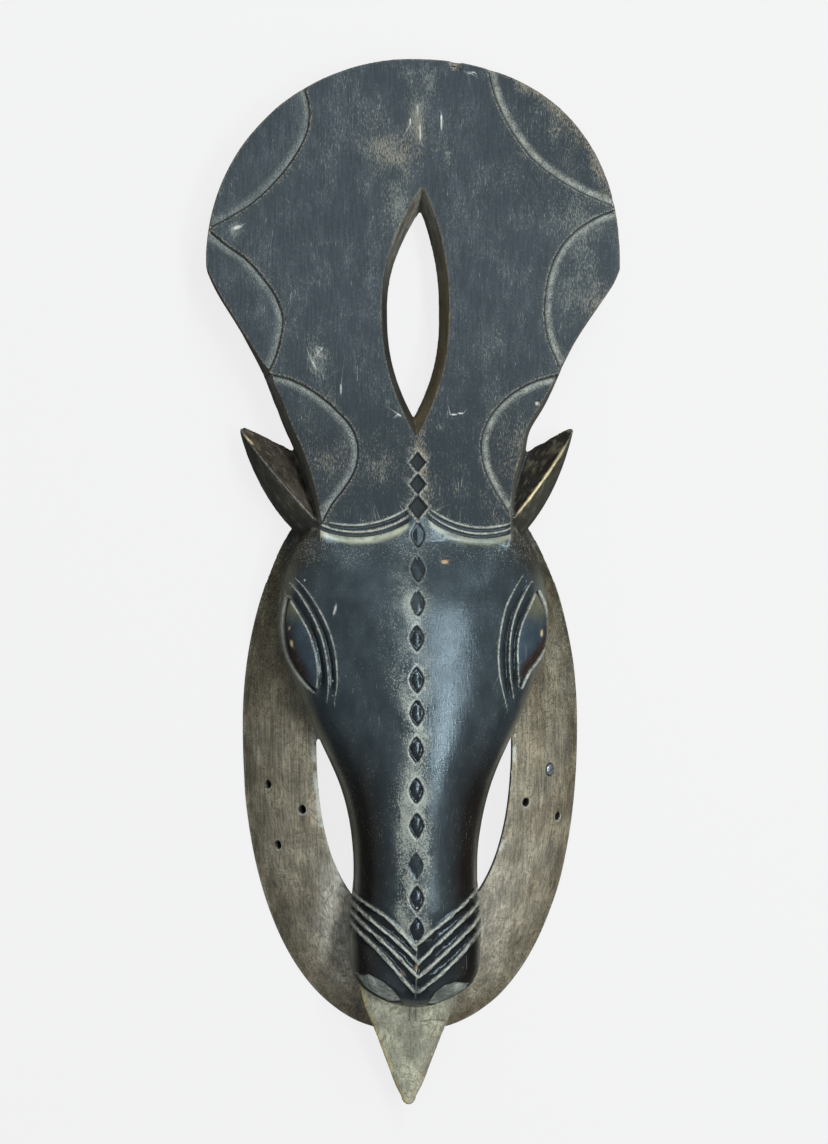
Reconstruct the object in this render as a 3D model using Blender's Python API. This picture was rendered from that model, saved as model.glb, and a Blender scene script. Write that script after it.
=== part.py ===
# Carved wooden mask of a horned animal, with one metal screw in its collar band.
# Metres. The mask lies on its back: +Z leaves the face, +Y runs to the top of the crest,
# +X is to the right of someone who looks at the face. z = 0 is the surface it lies on.

import bmesh
import bpy
import math
import numpy as np
from mathutils import Matrix, Vector

# Whole mask: free-form places below are written in units, 630 to the length
LENGTH = 0.630
UNITS_LONG = 630.0
UNIT = LENGTH / UNITS_LONG

# Crest: a flat plate with a round top, one block with the head
CREST_HALF_WIDTH = 0.124
CREST_THICKNESS = 0.028
CREST_FRONT_TOP = 0.027
CREST_FRONT_ROOT = 0.051
CREST_WALL_FLARE = 0.0045
LENS_HALF_WIDTH = 0.0201
LENS_WALL_TAPER = 0.0045

# Collar band: the shell round the wearer's face
BAND_HALF_WIDTH = 0.1026
BAND_GAP_HALF_WIDTH = 0.0585
BAND_GAP_FLARE = 0.0005
BAND_RISE = 0.042
BAND_SWELL = 0.5
BAND_WALL = 0.0115
HOLLOW_DEPTH = 0.059

# Head, snout, ears and chin
HEAD_HALF_WIDTH = 0.080
HEAD_TOP = 0.095
CHIN_HALF_WIDTH = 0.032
CHIN_THICKNESS = 0.022
LEFT_EAR_REACH = 0.1045
RIGHT_EAR_REACH = 0.098

# Carved lines
SCALLOP_DEPTH = 0.0018
SCALLOP_SLOPE = 0.0055
BROW_DEPTH = 0.0018
BROW_SLOPE = 0.0045
LINE_WIDTH = 0.0034
LINE_DEPTH = 0.0016
CHEVRON_WIDTH = 0.0050
CHEVRON_DEPTH = 0.0024
LOZENGE_HALF_WIDTH = 0.0046
LOZENGE_HALF_LENGTH = 0.0082
LOZENGE_DEPTH = 0.0022
PIT_HALF_LENGTH = 0.0058
NOSTRIL_HALF_LENGTH = 0.0155
NOSTRIL_HALF_WIDTH = 0.0052
NOSTRIL_DEPTH = 0.0040

# Lashing holes and the screw
LASHING_HOLE = 0.0048
SCREW_HEAD = 0.0064
SCREW_HEAD_HEIGHT = 0.0016
SCREW_SHANK = 0.0036
SCREW_LENGTH = 0.013
SCREW_SLOT = 0.0009
CLEARANCE = 0.0003
CUT_MARGIN = 0.004

# Head, in units: y, half width, ridge height, height of the widest line
HEAD_STATIONS = (
    (44, 50, 47, 26), (27, 68, 50.3, 30), (8, 76.5, 63, 34), (-10, 79.5, 75, 37),
    (-34, 79.5, 85.5, 40), (-62, 70, 92.3, 42), (-92, 57, 95, 44), (-120, 44.6, 93.3, 49),
    (-148, 38, 90.5, 51), (-172, 36.6, 87.8, 50), (-196, 38.8, 85.8, 49), (-224, 38.5, 81.5, 47),
)
HEAD_UNITS_WIDE = 80.0
HEAD_UNITS_HIGH = 95.0
SNOUT_START = -224.0
SNOUT_LENGTH = 27.0
SNOUT_END_DROP = 28.0
# Roundness of the arch over the head, a power: plain, and how much squarer it gets at the crest
ARCH_POWER = 2.3
ARCH_SQUARER = 5.2

# Crest flanks, in units: y, half width
LEFT_FLANK = (
    (27, 56.2), (45, 57), (60, 60.4), (75, 65), (94, 73.4), (109, 79.3), (124, 86.5),
    (152, 104), (181, 120.7), (188, 123.7),
)
RIGHT_FLANK = (
    (27, 57), (45, 57.2), (60, 58.8), (78, 64), (93, 67.5), (104, 74), (123, 85), (145, 97),
    (166, 111), (181, 121), (188, 124.0),
)
CREST_UNITS_WIDE = 124.0
CREST_CENTRE_Y = 191.5
CREST_ROOT_Y = 27.0
FLARE_FROM_Y = 150.0
LENS_BOTTOM = (0.8, 87.0)
LENS_TOP = (5.5, 237.6)
LENS_END_TAPER = 12.0

# Band, in units, from its centre at (0, BAND_CENTRE_Y)
BAND_CENTRE_Y = -85.0
BAND_BOTTOM = 189.0
BAND_UPPER = 168.0
GAP_BOTTOM = 118.0
GAP_UPPER = 100.0

# Chin, in units: y, share of its half width, front height
CHIN_STATIONS = (
    (-232, 1.0, 40), (-252, 0.87, 36), (-270, 0.64, 31), (-289, 0.415, 27), (-303, 0.25, 24),
    (-312, 0.10, 22),
)
CHIN_CENTRE_X = -2.3
CHIN_SECTION = ((-1, -0.16), (-0.5, -0.03), (0, 0), (0.5, -0.03), (1, -0.16), (0.7, -1), (-0.7, -1))

# Scallop lines on the crest, in units: centre x, centre y, radius, from and to in degrees
SCALLOPS = (
    (-141.5, 289.3, 78.1, -76, 5), (-137.2, 151.4, 57.2, -30, 68), (-81.7, 76.0, 45.8, -52, 94),
    (145.4, 325.2, 101.0, 190, 258), (141.0, 164.0, 63.3, 110, 214), (85.6, 77.7, 45.1, 92, 228),
)
# Sagging double lines across the foot of the crest, in the same form
FOREHEAD_LINES = (
    (-36.9, 91.3, 57.4, 255, 305), (-34.5, 84.2, 54.4, 247, 303),
    (40.6, 83.7, 51.2, 232, 288), (39.7, 76.1, 47.1, 228, 291),
)
# Eye and brow lines on the head, in units: x from the middle, y at top, middle and bottom
EYE_MOAT = ((73.5, -9.5), (76.3, -28.0), (60.6, -60.0))
BROW_STOPS = (((74.0, -7.0), (60.5, -37.0), (58.8, -65.0)), ((71.0, 0.5), (55.3, -32.0), (53.6, -68.5)))
CHEVRON_COUNT = 3
CHEVRON_INNER_Y = -215.2
CHEVRON_OUTER = (33.0, -189.9)
CHEVRON_INNER_STEP = 8.2
CHEVRON_OUTER_STEP = 6.2
LOZENGE_PLACES = (
    8.3, -11.6, -32.5, -55.8, -76.0, -97.0, -119.0, -140.0, -161.5, -182.6, -202.0,
)
PIT_PLACES = (71.8, 58.7, 45.0)
# Nostrils, in units: middle x, middle y, turn in degrees
NOSTRILS = ((-22.0, -236.5, -31.0), (20.0, -240.5, 29.0))
# Lashing holes through the band, and the screw: angle round its centre in degrees, and share of
# its width from the rim
HOLES = ((202.7, 0.322), (216.9, 0.746), (221.9, 0.346), (325.4, 0.743), (327.4, 0.231))
SCREW_PLACE = (341.5, 0.422)


def through(stations, at, column=1):
    """Smooth curve through a column of the stations: cubic between neighbours, flat past the ends."""
    rows = np.array(sorted(stations), dtype=float)
    places, values = rows[:, 0], rows[:, column]
    slopes = np.gradient(values, places)
    at = np.clip(np.asarray(at, dtype=float), places[0], places[-1])
    index = np.clip(np.searchsorted(places, at) - 1, 0, len(places) - 2)
    step = places[index + 1] - places[index]
    t = (at - places[index]) / step
    value = values[index] * (1 + 2 * t) * (1 - t) ** 2 + values[index + 1] * t ** 2 * (3 - 2 * t)
    return value + step * (slopes[index] * t * (1 - t) ** 2 + slopes[index + 1] * t ** 2 * (t - 1))


def add_loft(bm, rings, tip=None):
    """Skin closed rings of equal count, cap the first, and close the last with a cap or a tip."""
    rows = [[bm.verts.new(point) for point in ring] for ring in rings]
    count = len(rows[0])
    for lower, upper in zip(rows, rows[1:]):
        for i in range(count):
            j = (i + 1) % count
            bm.faces.new((lower[i], lower[j], upper[j], upper[i]))
    bm.faces.new(rows[0][::-1])
    if tip is None:
        bm.faces.new(rows[-1])
        return
    point = bm.verts.new(tip)
    for i in range(count):
        bm.faces.new((rows[-1][i], rows[-1][(i + 1) % count], point))


def linked_object(name, bm, cutter=False):
    """Turn the faces outwards and link the mesh as an object; a cutter is only a guide."""
    bmesh.ops.recalc_face_normals(bm, faces=bm.faces)
    mesh = bpy.data.meshes.new(name)
    bm.to_mesh(mesh)
    bm.free()
    obj = bpy.data.objects.new(name, mesh)
    bpy.context.scene.collection.objects.link(obj)
    if cutter:
        obj.hide_render = True
        obj.display_type = "WIRE"
    return obj


def boolean(target, other, operation):
    """Join or cut the target with another closed object, kept as a live modifier.

    The exact solver loses the mask where shallow lines meet, so both solids being closed,
    the manifold solver does it.
    """
    modifier = target.modifiers.new(other.name, "BOOLEAN")
    modifier.operation = operation
    modifier.solver = "MANIFOLD"
    modifier.object = other


def add_swept_cut(bm, path, normals, section):
    """Sweep a small section, given as (side, height) pairs, along a path on a surface."""
    path = np.asarray(path, dtype=float)
    tangents = np.gradient(path, axis=0)
    sides = np.cross(tangents, normals)
    sides /= np.linalg.norm(sides, axis=1)[:, None]
    rings = []
    for point, side, normal in zip(path, sides, normals):
        rings.append([Vector(point + side * s + normal * h) for s, h in section])
    add_loft(bm, rings)


def stop_cut(side, slope, depth):
    """Section of a line with a steep wall, and a slope to the side that climbs back to the surface."""
    return ((0.0, -depth), (side * slope, 0.0), (side * slope, depth), (-side * depth / 4, depth))


def vee(width, depth):
    """Section of a V cut, width wide at the surface."""
    over = 0.3 * depth
    half = width / 2 * (1 + over / depth)
    return ((0.0, -depth), (half, over), (-half, over))


def surface_normals(height, points):
    """Unit normals of a surface z = height(x, y) at the points, from small steps along x and y."""
    step = UNIT / 4
    normals = []
    for x, y in points:
        rise_x = (height(x + step, y) - height(x - step, y)) / (2 * step)
        rise_y = (height(x, y + step) - height(x, y - step)) / (2 * step)
        normal = np.array((-rise_x, -rise_y, 1.0))
        normals.append(normal / np.linalg.norm(normal))
    return np.array(normals)


# Crest plate
def crest_front(x, y):
    """Height of the plate's front: a plane that falls from the forehead to the top."""
    root = CREST_ROOT_Y * UNIT
    return CREST_FRONT_ROOT - (CREST_FRONT_ROOT - CREST_FRONT_TOP) * (y - root) / (LENGTH / 2 - root)


def crest_outline():
    """Plate outline in metres: right flank up, a round top, left flank down.

    The top is a circle on the left and a slightly squarer curve, power 2.3, on the right.
    """
    across = CREST_HALF_WIDTH / CREST_UNITS_WIDE
    flank = np.linspace(CREST_ROOT_Y, LEFT_FLANK[-1][0], 20)
    points = [(through(RIGHT_FLANK, y) * across, y * UNIT) for y in flank]
    height = LENGTH / 2 - CREST_CENTRE_Y * UNIT
    for angle in np.radians(np.arange(2.0, 180.0, 4.4)):
        power = 2 / 2.3 if angle < math.pi / 2 else 1.0
        x = math.copysign(abs(math.cos(angle)) ** power, math.cos(angle))
        y = CREST_CENTRE_Y * UNIT + height * math.sin(angle) ** power
        points.append((CREST_HALF_WIDTH * x, y))
    points += [(-through(LEFT_FLANK, y) * across, y * UNIT) for y in flank[::-1]]
    return points


def crest_plate():
    """Slab between the front plane and a parallel back; its lower walls flare to the back."""
    bm = bmesh.new()
    front, back = [], []
    for x, y in crest_outline():
        flare = CREST_WALL_FLARE * min(1.0, max(0.0, (FLARE_FROM_Y * UNIT - y) / (40 * UNIT)))
        front.append((x, y, crest_front(x, y)))
        back.append((x + math.copysign(flare, x), y, crest_front(x, y) - CREST_THICKNESS))
    add_loft(bm, (back, front))
    resting_cut = bm.verts[:] + bm.edges[:] + bm.faces[:]
    below = Vector((0, 0, -1))
    bmesh.ops.bisect_plane(bm, geom=resting_cut, plane_co=Vector(), plane_no=below, clear_outer=True)
    bmesh.ops.holes_fill(bm, edges=[edge for edge in bm.edges if edge.is_boundary])
    return linked_object("mask", bm)


def lens_cutter():
    """Pointed opening through the crest, smaller at the back than at the front."""
    bm = bmesh.new()
    rings = []
    for over in (-1.0, 1.0):
        ring = []
        for side in (-1, 1):
            for t in np.linspace(-1, 1, 15)[:-1]:
                along = t * -side
                y = (LENS_TOP[1] + LENS_BOTTOM[1]) / 2 + along * (LENS_TOP[1] - LENS_BOTTOM[1]) / 2
                centre = LENS_BOTTOM[0] + (LENS_TOP[0] - LENS_BOTTOM[0]) * max(0.0, along) ** 2
                front = crest_front(0, y * UNIT)
                depth = (CREST_THICKNESS + CUT_MARGIN) if over < 0 else -CUT_MARGIN
                shrink = depth / CREST_THICKNESS
                half = (LENS_HALF_WIDTH - LENS_WALL_TAPER * shrink) * (1 - abs(along) ** 2.2)
                y_end = y * UNIT - along * LENS_END_TAPER * UNIT * shrink
                ring.append((centre * UNIT + side * half, y_end, front - depth))
        rings.append(ring)
    add_loft(bm, rings)
    return linked_object("lens_opening", bm, cutter=True)


# Collar band
def polar_radius(angle, half_width, up, down, power):
    """Distance from the band's centre to an egg-shaped line, in the direction of the angle."""
    height = up if math.sin(angle) > 0 else down
    across, along = abs(math.cos(angle) / half_width), abs(math.sin(angle) / height)
    return (across ** power + along ** power) ** (-1 / power)


def band_outer(angle):
    """Radius of the band's outer rim."""
    power = 2.0 if math.sin(angle) > 0 else 2.25
    return polar_radius(angle, BAND_HALF_WIDTH, BAND_UPPER * UNIT, BAND_BOTTOM * UNIT, power)


def band_inner(angle):
    """Radius of the band's inner front edge."""
    power = 2.0 if math.sin(angle) > 0 else 2.5
    return polar_radius(angle, BAND_GAP_HALF_WIDTH, GAP_UPPER * UNIT, GAP_BOTTOM * UNIT, power)


def band_point(angle, radius, height):
    """Point at a polar place round the band's centre."""
    return (radius * math.cos(angle), BAND_CENTRE_Y * UNIT + radius * math.sin(angle), height)


def band_height(x, y):
    """Height of the band's outside over (x, y): a swelling slope from the rim to the inner edge."""
    angle = math.atan2(y - BAND_CENTRE_Y * UNIT, x)
    outer = band_outer(angle)
    share = (outer - math.hypot(x, y - BAND_CENTRE_Y * UNIT)) / (outer - band_inner(angle))
    return BAND_RISE * share * (1 + BAND_SWELL * (1 - share))


def band_ring(share, inset, lift):
    """One ring of the band's slope, share 0 at the rim and 1 at the inner edge."""
    ring = []
    for angle in np.radians(np.arange(0.0, 360.0, 6.0)):
        outer, inner = band_outer(angle), band_inner(angle)
        height = BAND_RISE * share * (1 + BAND_SWELL * (1 - share)) - lift
        ring.append(band_point(angle, outer + (inner - outer) * share - inset * (1 - share), height))
    return ring


def band_block():
    """Solid dome whose slope is the band's outside."""
    bm = bmesh.new()
    add_loft(bm, [band_ring(share, 0.0, 0.0) for share in (0.0, 0.12, 0.3, 0.5, 0.75, 1.0)])
    return linked_object("band", bm, cutter=True)


def gap_cutter():
    """Opening inside the band's inner edge, a little wider at the back."""
    bm = bmesh.new()
    rings = []
    for height, widen in ((-CUT_MARGIN, BAND_GAP_FLARE), (BAND_RISE + CUT_MARGIN, -BAND_GAP_FLARE / 2)):
        ring = []
        for angle in np.radians(np.arange(3.0, 363.0, 6.0)):
            ring.append(band_point(angle, band_inner(angle) + widen, height))
        rings.append(ring)
    add_loft(bm, rings)
    return linked_object("gap", bm, cutter=True)


def hollow_cutter():
    """The wearer's hollow: parallel to the band's outside, then a low vault under the head."""
    bm = bmesh.new()
    rings = [[(x, y, z - CUT_MARGIN) for x, y, z in band_ring(0.0, BAND_WALL, 0.0)]]
    for share in (0.0, 0.25, 0.5, 0.75, 1.15):
        rings.append(band_ring(share, BAND_WALL, 0.95 * BAND_WALL * min(1.0, 4 * share)))
    vault = ((-62, 46, 70, 0.72), (-52, 41, 56, 0.88), (-45, 25, 34, 0.98))
    for centre_y, half_x, half_y, rise in vault:
        ring = []
        for angle in np.radians(np.arange(0.0, 360.0, 6.0)):
            y = (centre_y + half_y * math.sin(angle)) * UNIT
            ring.append((half_x * UNIT * math.cos(angle), y, rise * HOLLOW_DEPTH))
        rings.append(ring)
    add_loft(bm, rings, tip=(0.0, vault[-1][0] * UNIT, HOLLOW_DEPTH))
    return linked_object("hollow", bm, cutter=True)


# Head and snout
def arch_power(y):
    """Power of the arch over the head at y: squarer where the head runs into the flat crest."""
    return ARCH_POWER + ARCH_SQUARER * min(1.0, max(0.0, (y / UNIT + 4) / 30)) ** 1.5


def head_size(y):
    """Half width, ridge height and widest-line height of the head at y, all in metres."""
    place = y / UNIT
    across, up = HEAD_HALF_WIDTH / HEAD_UNITS_WIDE, HEAD_TOP / HEAD_UNITS_HIGH
    beyond = min(1.0, max(0.0, (SNOUT_START - place) / SNOUT_LENGTH))
    half = through(HEAD_STATIONS, place, 1) * across * math.sqrt(1 - beyond ** 2)
    ridge = (through(HEAD_STATIONS, place, 2) - SNOUT_END_DROP * beyond ** 2.5) * up
    return half, ridge, through(HEAD_STATIONS, place, 3) * up


def head_height(x, y):
    """Height of the head's front over (x, y)."""
    half, ridge, widest = head_size(y)
    share = min(0.999, abs(x) / half)
    return widest + (ridge - widest) * math.sqrt(1 - share ** arch_power(y))


def head_ring(y):
    """Closed cross-section of the head at y: a full arch above, a deep box or a round below."""
    half, ridge, widest = head_size(y)
    slim = min(1.0, max(0.0, (-80 - y / UNIT) / 50))
    power = 4.0 - 1.8 * slim
    low = (14 + 14 * slim) * UNIT
    ring = []
    for angle in np.radians(np.linspace(-90, 90, 19)):
        x = half * math.copysign(abs(math.sin(angle)) ** (2 / arch_power(y)), angle)
        ring.append((x, y, widest + (ridge - widest) * max(0.0, math.cos(angle))))
    for angle in np.radians(np.linspace(0, 180, 9))[1:-1]:
        x = half * math.copysign(abs(math.cos(angle)) ** (2 / power), math.cos(angle))
        ring.append((x, y, widest - (widest - low) * math.sin(angle) ** (2 / power)))
    return ring


def head_block():
    """Head and snout, lofted from under the crest's foot to the round end of the nose."""
    bm = bmesh.new()
    places = list(np.linspace(HEAD_STATIONS[0][0], SNOUT_START, 27))
    places += [SNOUT_START - SNOUT_LENGTH * share for share in (0.3, 0.55, 0.75, 0.9, 0.975)]
    add_loft(bm, [head_ring(place * UNIT) for place in places])
    return linked_object("head", bm, cutter=True)


# Ears and chin
def bowed(start, middle, end, t):
    """Point at t on the curve that passes its middle at t = 0.5."""
    start, middle, end = np.array(start), np.array(middle), np.array(end)
    return start * (1 - t) * (1 - 2 * t) + middle * 4 * t * (1 - t) + end * t * (2 * t - 1)


def ear(side, tip_x, name):
    """Folded leaf: an outer edge, a ridge and an inner edge that run from the root to the tip."""
    root_x = 54.0
    reach = (tip_x / UNIT - root_x) / (104.5 - root_x)
    outer_edge = ((64, 24, 12), (89, 54, 16), (104.5, 93, 19))
    ridge_line = ((54, 32, 40), (83.5, 65, 41), (103.8, 92, 23))
    inner_edge = ((48, 68, 16), (82, 85, 19), (101.5, 94, 19))
    back_line = ((50, 44, 4), (83, 68, 9), (103, 93, 17))
    bm = bmesh.new()
    rings = []
    for t in (0.0, 0.25, 0.5, 0.72, 0.88, 1.0):
        outer, ridge = bowed(*outer_edge, t), bowed(*ridge_line, t)
        inner, back = bowed(*inner_edge, t), bowed(*back_line, t)
        outer_mid = (outer + ridge) / 2 + np.array((1.2, -1.2, 0.8)) * (1 - t)
        inner_mid = (ridge + inner) / 2 - np.array((1.0, 1.0, 3.0)) * (1 - t)
        ring = []
        for point in (outer, outer_mid, ridge, inner_mid, inner, back):
            x = root_x + (point[0] - root_x) * reach
            ring.append((side * x * UNIT, point[1] * UNIT, point[2] * UNIT))
        rings.append(ring)
    add_loft(bm, rings)
    return linked_object(name, bm, cutter=True)


def chin_block():
    """Tapered tongue of wood below the nose, slightly crowned, narrower at its back."""
    bm = bmesh.new()
    rings = []
    for place, share, front in CHIN_STATIONS:
        half, z = CHIN_HALF_WIDTH * share, front * UNIT
        thick = CHIN_THICKNESS * (0.45 + 0.55 * share)
        ring = []
        for across, up in CHIN_SECTION:
            ring.append((CHIN_CENTRE_X * UNIT + half * across, place * UNIT, z + thick * up))
        rings.append(ring)
    tip = (CHIN_CENTRE_X * UNIT, -LENGTH / 2, CHIN_STATIONS[-1][2] * UNIT - CHIN_THICKNESS / 4)
    add_loft(bm, rings, tip=tip)
    return linked_object("chin", bm, cutter=True)


# Carving
def crest_arc(centre_x, centre_y, radius, start, end, count):
    """Arc on the crest's front, with the plate's normals."""
    points = []
    for angle in np.radians(np.linspace(start, end, count)):
        x, y = centre_x + radius * math.cos(angle), centre_y + radius * math.sin(angle)
        points.append((x * UNIT, y * UNIT))
    path = [(x, y, crest_front(x, y)) for x, y in points]
    return path, surface_normals(crest_front, points)


def scallop_cutter(first):
    """Every second scallop line from the first: steep towards the plate's middle."""
    bm = bmesh.new()
    for arc in SCALLOPS[first::2]:
        add_swept_cut(bm, *crest_arc(*arc, 16), stop_cut(-1, SCALLOP_SLOPE, SCALLOP_DEPTH))
    return linked_object(f"scallops_{first}", bm, cutter=True)


def head_path(points):
    """Path laid on the head's front over the points, with the head's normals."""
    return [(x, y, head_height(x, y)) for x, y in points], surface_normals(head_height, points)


def brow_path(side, bow):
    """Path on the head over a bow of three points, mirrored to the side, as wide as the head."""
    points = []
    for t in np.linspace(0, 1, 9):
        x, y = bowed(*bow, t)
        points.append((side * x * HEAD_HALF_WIDTH / HEAD_UNITS_WIDE, y * UNIT))
    return head_path(points)


def line_cutter(first):
    """Every second line from the first: forehead lines, brow stops with eye moats, chevrons."""
    bm = bmesh.new()
    for arc in FOREHEAD_LINES[first::2]:
        add_swept_cut(bm, *crest_arc(*arc, 10), vee(LINE_WIDTH, LINE_DEPTH))
    for side in (-1, 1):
        add_swept_cut(bm, *brow_path(side, BROW_STOPS[first]), stop_cut(side, BROW_SLOPE, BROW_DEPTH))
        if first == 1:
            add_swept_cut(bm, *brow_path(side, EYE_MOAT), vee(LINE_WIDTH, LINE_DEPTH))
    for i in range(first, CHEVRON_COUNT, 2):
        inner_y = CHEVRON_INNER_Y - i * CHEVRON_INNER_STEP
        outer_y = CHEVRON_OUTER[1] - i * CHEVRON_OUTER_STEP
        outer_x = CHEVRON_OUTER[0] * HEAD_HALF_WIDTH / HEAD_UNITS_WIDE
        points = []
        for t in np.linspace(-1, 1, 13):
            points.append((outer_x * t, (inner_y + (outer_y - inner_y) * abs(t)) * UNIT))
        add_swept_cut(bm, *head_path(points), vee(CHEVRON_WIDTH, CHEVRON_DEPTH))
    return linked_object(f"lines_{first}", bm, cutter=True)


def add_lozenge(bm, y, height, half_length, edge_depth, middle_depth):
    """Lozenge cut on the middle line: edge_depth deep at its outline, middle_depth at its centre."""
    outline = ((0, half_length), (-LOZENGE_HALF_WIDTH, 0), (0, -half_length), (LOZENGE_HALF_WIDTH, 0))
    top = [(dx, y + dy, height(dx, y + dy) + LOZENGE_DEPTH) for dx, dy in outline]
    floor = [(dx, y + dy, height(dx, y + dy) - edge_depth) for dx, dy in outline]
    add_loft(bm, (top, floor), tip=(0.0, y, height(0.0, y) - middle_depth))


def lozenge_cutter():
    """Chain of lozenges: low pyramids in sunk frames on the head, plain pits on the crest."""
    bm = bmesh.new()
    for place in LOZENGE_PLACES:
        add_lozenge(bm, place * UNIT, head_height, LOZENGE_HALF_LENGTH, LOZENGE_DEPTH, LOZENGE_DEPTH / 8)
    for place in PIT_PLACES:
        add_lozenge(bm, place * UNIT, crest_front, PIT_HALF_LENGTH, LOZENGE_DEPTH / 8, LOZENGE_DEPTH)
    return linked_object("lozenges", bm, cutter=True)


def nostril_cutter():
    """Two leaf-shaped scoops in the round end of the nose."""
    bm = bmesh.new()
    for x, y, turn in NOSTRILS:
        place = (x * UNIT, y * UNIT)
        normal = Vector(surface_normals(head_height, (place,))[0])
        centre = Vector((*place, head_height(*place)))
        upright = normal.to_track_quat("Z", "Y").to_matrix().to_4x4()
        turned = upright @ Matrix.Rotation(math.radians(turn), 4, "Z")
        size = Matrix.Diagonal((NOSTRIL_HALF_LENGTH, NOSTRIL_HALF_WIDTH, NOSTRIL_DEPTH, 1.0))
        matrix = Matrix.Translation(centre) @ turned @ size
        bmesh.ops.create_uvsphere(bm, u_segments=16, v_segments=8, radius=1.0, matrix=matrix)
    return linked_object("nostrils", bm, cutter=True)


def band_frame(place):
    """Placing matrix on the band's outside, with its Z along the normal."""
    angle = math.radians(place[0])
    outer = band_outer(angle)
    x, y, _ = band_point(angle, outer + (band_inner(angle) - outer) * place[1], 0.0)
    normal = Vector(surface_normals(band_height, ((x, y),))[0])
    upright = normal.to_track_quat("Z", "Y").to_matrix().to_4x4()
    return Matrix.Translation((x, y, band_height(x, y))) @ upright


def add_bore(bm, frame, diameter, top, bottom, segments=12):
    """Straight bore along the frame's Z, from the height top down to the height bottom."""
    middle = Matrix.Translation((0.0, 0.0, (top + bottom) / 2))
    bmesh.ops.create_cone(
        bm, cap_ends=True, segments=segments, radius1=diameter / 2, radius2=diameter / 2,
        depth=top - bottom, matrix=frame @ middle,
    )


def holes_cutter():
    """Lashing holes square to the band, and the bore and seat of the screw."""
    bm = bmesh.new()
    for place in HOLES:
        add_bore(bm, band_frame(place), LASHING_HOLE, CUT_MARGIN, -1.5 * BAND_WALL)
    frame = band_frame(SCREW_PLACE)
    seat = -SCREW_HEAD_HEIGHT
    rings = []
    for radius, height in (
        (SCREW_SHANK / 2 + CLEARANCE, -1.5 * BAND_WALL), (SCREW_SHANK / 2 + CLEARANCE, seat),
        (SCREW_HEAD / 2 + CLEARANCE, seat), (SCREW_HEAD / 2 + CLEARANCE, CUT_MARGIN),
    ):
        rings.append([frame @ p for p in circle(radius, height)])
    add_loft(bm, rings)
    return linked_object("holes", bm, cutter=True)


def circle(radius, height, count=16):
    """Points round the Z axis at a height."""
    angles = [2 * math.pi * i / count for i in range(count)]
    return [Vector((radius * math.cos(a), radius * math.sin(a), height)) for a in angles]


def screw():
    """Slotted screw: a low head that sits in its seat, and a shank inside the band's wall."""
    frame = band_frame(SCREW_PLACE)
    under = -SCREW_HEAD_HEIGHT + CLEARANCE
    bm = bmesh.new()
    rings = []
    for radius, height in (
        (SCREW_SHANK / 4, under - SCREW_LENGTH), (SCREW_SHANK / 2, under - 0.8 * SCREW_LENGTH),
        (SCREW_SHANK / 2, under), (SCREW_HEAD / 2, under), (SCREW_HEAD / 2, 0.3 * SCREW_HEAD_HEIGHT),
        (0.4 * SCREW_HEAD, 0.55 * SCREW_HEAD_HEIGHT),
    ):
        rings.append([frame @ p for p in circle(radius, height)])
    add_loft(bm, rings)
    obj = linked_object("screw", bm)
    slot = bmesh.new()
    size = Matrix.Diagonal((SCREW_HEAD * 1.2, SCREW_SLOT, 1.2 * SCREW_HEAD_HEIGHT, 1.0))
    turned = Matrix.Rotation(math.radians(35), 4, "Z")
    lifted = Matrix.Translation((0, 0, 0.55 * SCREW_HEAD_HEIGHT))
    bmesh.ops.create_cube(slot, size=1.0, matrix=frame @ turned @ lifted @ size)
    boolean(obj, linked_object("screw_slot", slot, cutter=True), "DIFFERENCE")
    return obj


def finish(obj, name, colour, roughness, metallic, sharp):
    """Give the piece its own material and smooth shading up to the sharp angle."""
    material = bpy.data.materials.new(name)
    material.use_nodes = True
    shader = material.node_tree.nodes["Principled BSDF"]
    shader.inputs["Base Color"].default_value = (*colour, 1.0)
    shader.inputs["Roughness"].default_value = roughness
    shader.inputs["Metallic"].default_value = metallic
    obj.data.materials.append(material)
    obj.data.shade_smooth()
    obj.data.set_sharp_from_angle(angle=math.radians(sharp))


for old in list(bpy.data.objects):
    bpy.data.objects.remove(old, do_unlink=True)

band = band_block()
boolean(band, gap_cutter(), "DIFFERENCE")
mask = crest_plate()
ears = ear(-1, LEFT_EAR_REACH, "left_ear"), ear(1, RIGHT_EAR_REACH, "right_ear")
for form in (head_block(), band, *ears, chin_block()):
    boolean(mask, form, "UNION")
for cutter in (
    hollow_cutter(), lens_cutter(), scallop_cutter(0), scallop_cutter(1), line_cutter(0), line_cutter(1),
    lozenge_cutter(), nostril_cutter(), holes_cutter(),
):
    boolean(mask, cutter, "DIFFERENCE")
finish(mask, "dark_carved_wood", (0.028, 0.032, 0.038), 0.45, 0.0, 35)
finish(screw(), "old_steel", (0.42, 0.45, 0.48), 0.4, 1.0, 30)
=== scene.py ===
import bmesh
import bpy
import numpy as np
from mathutils import Matrix, Vector


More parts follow.
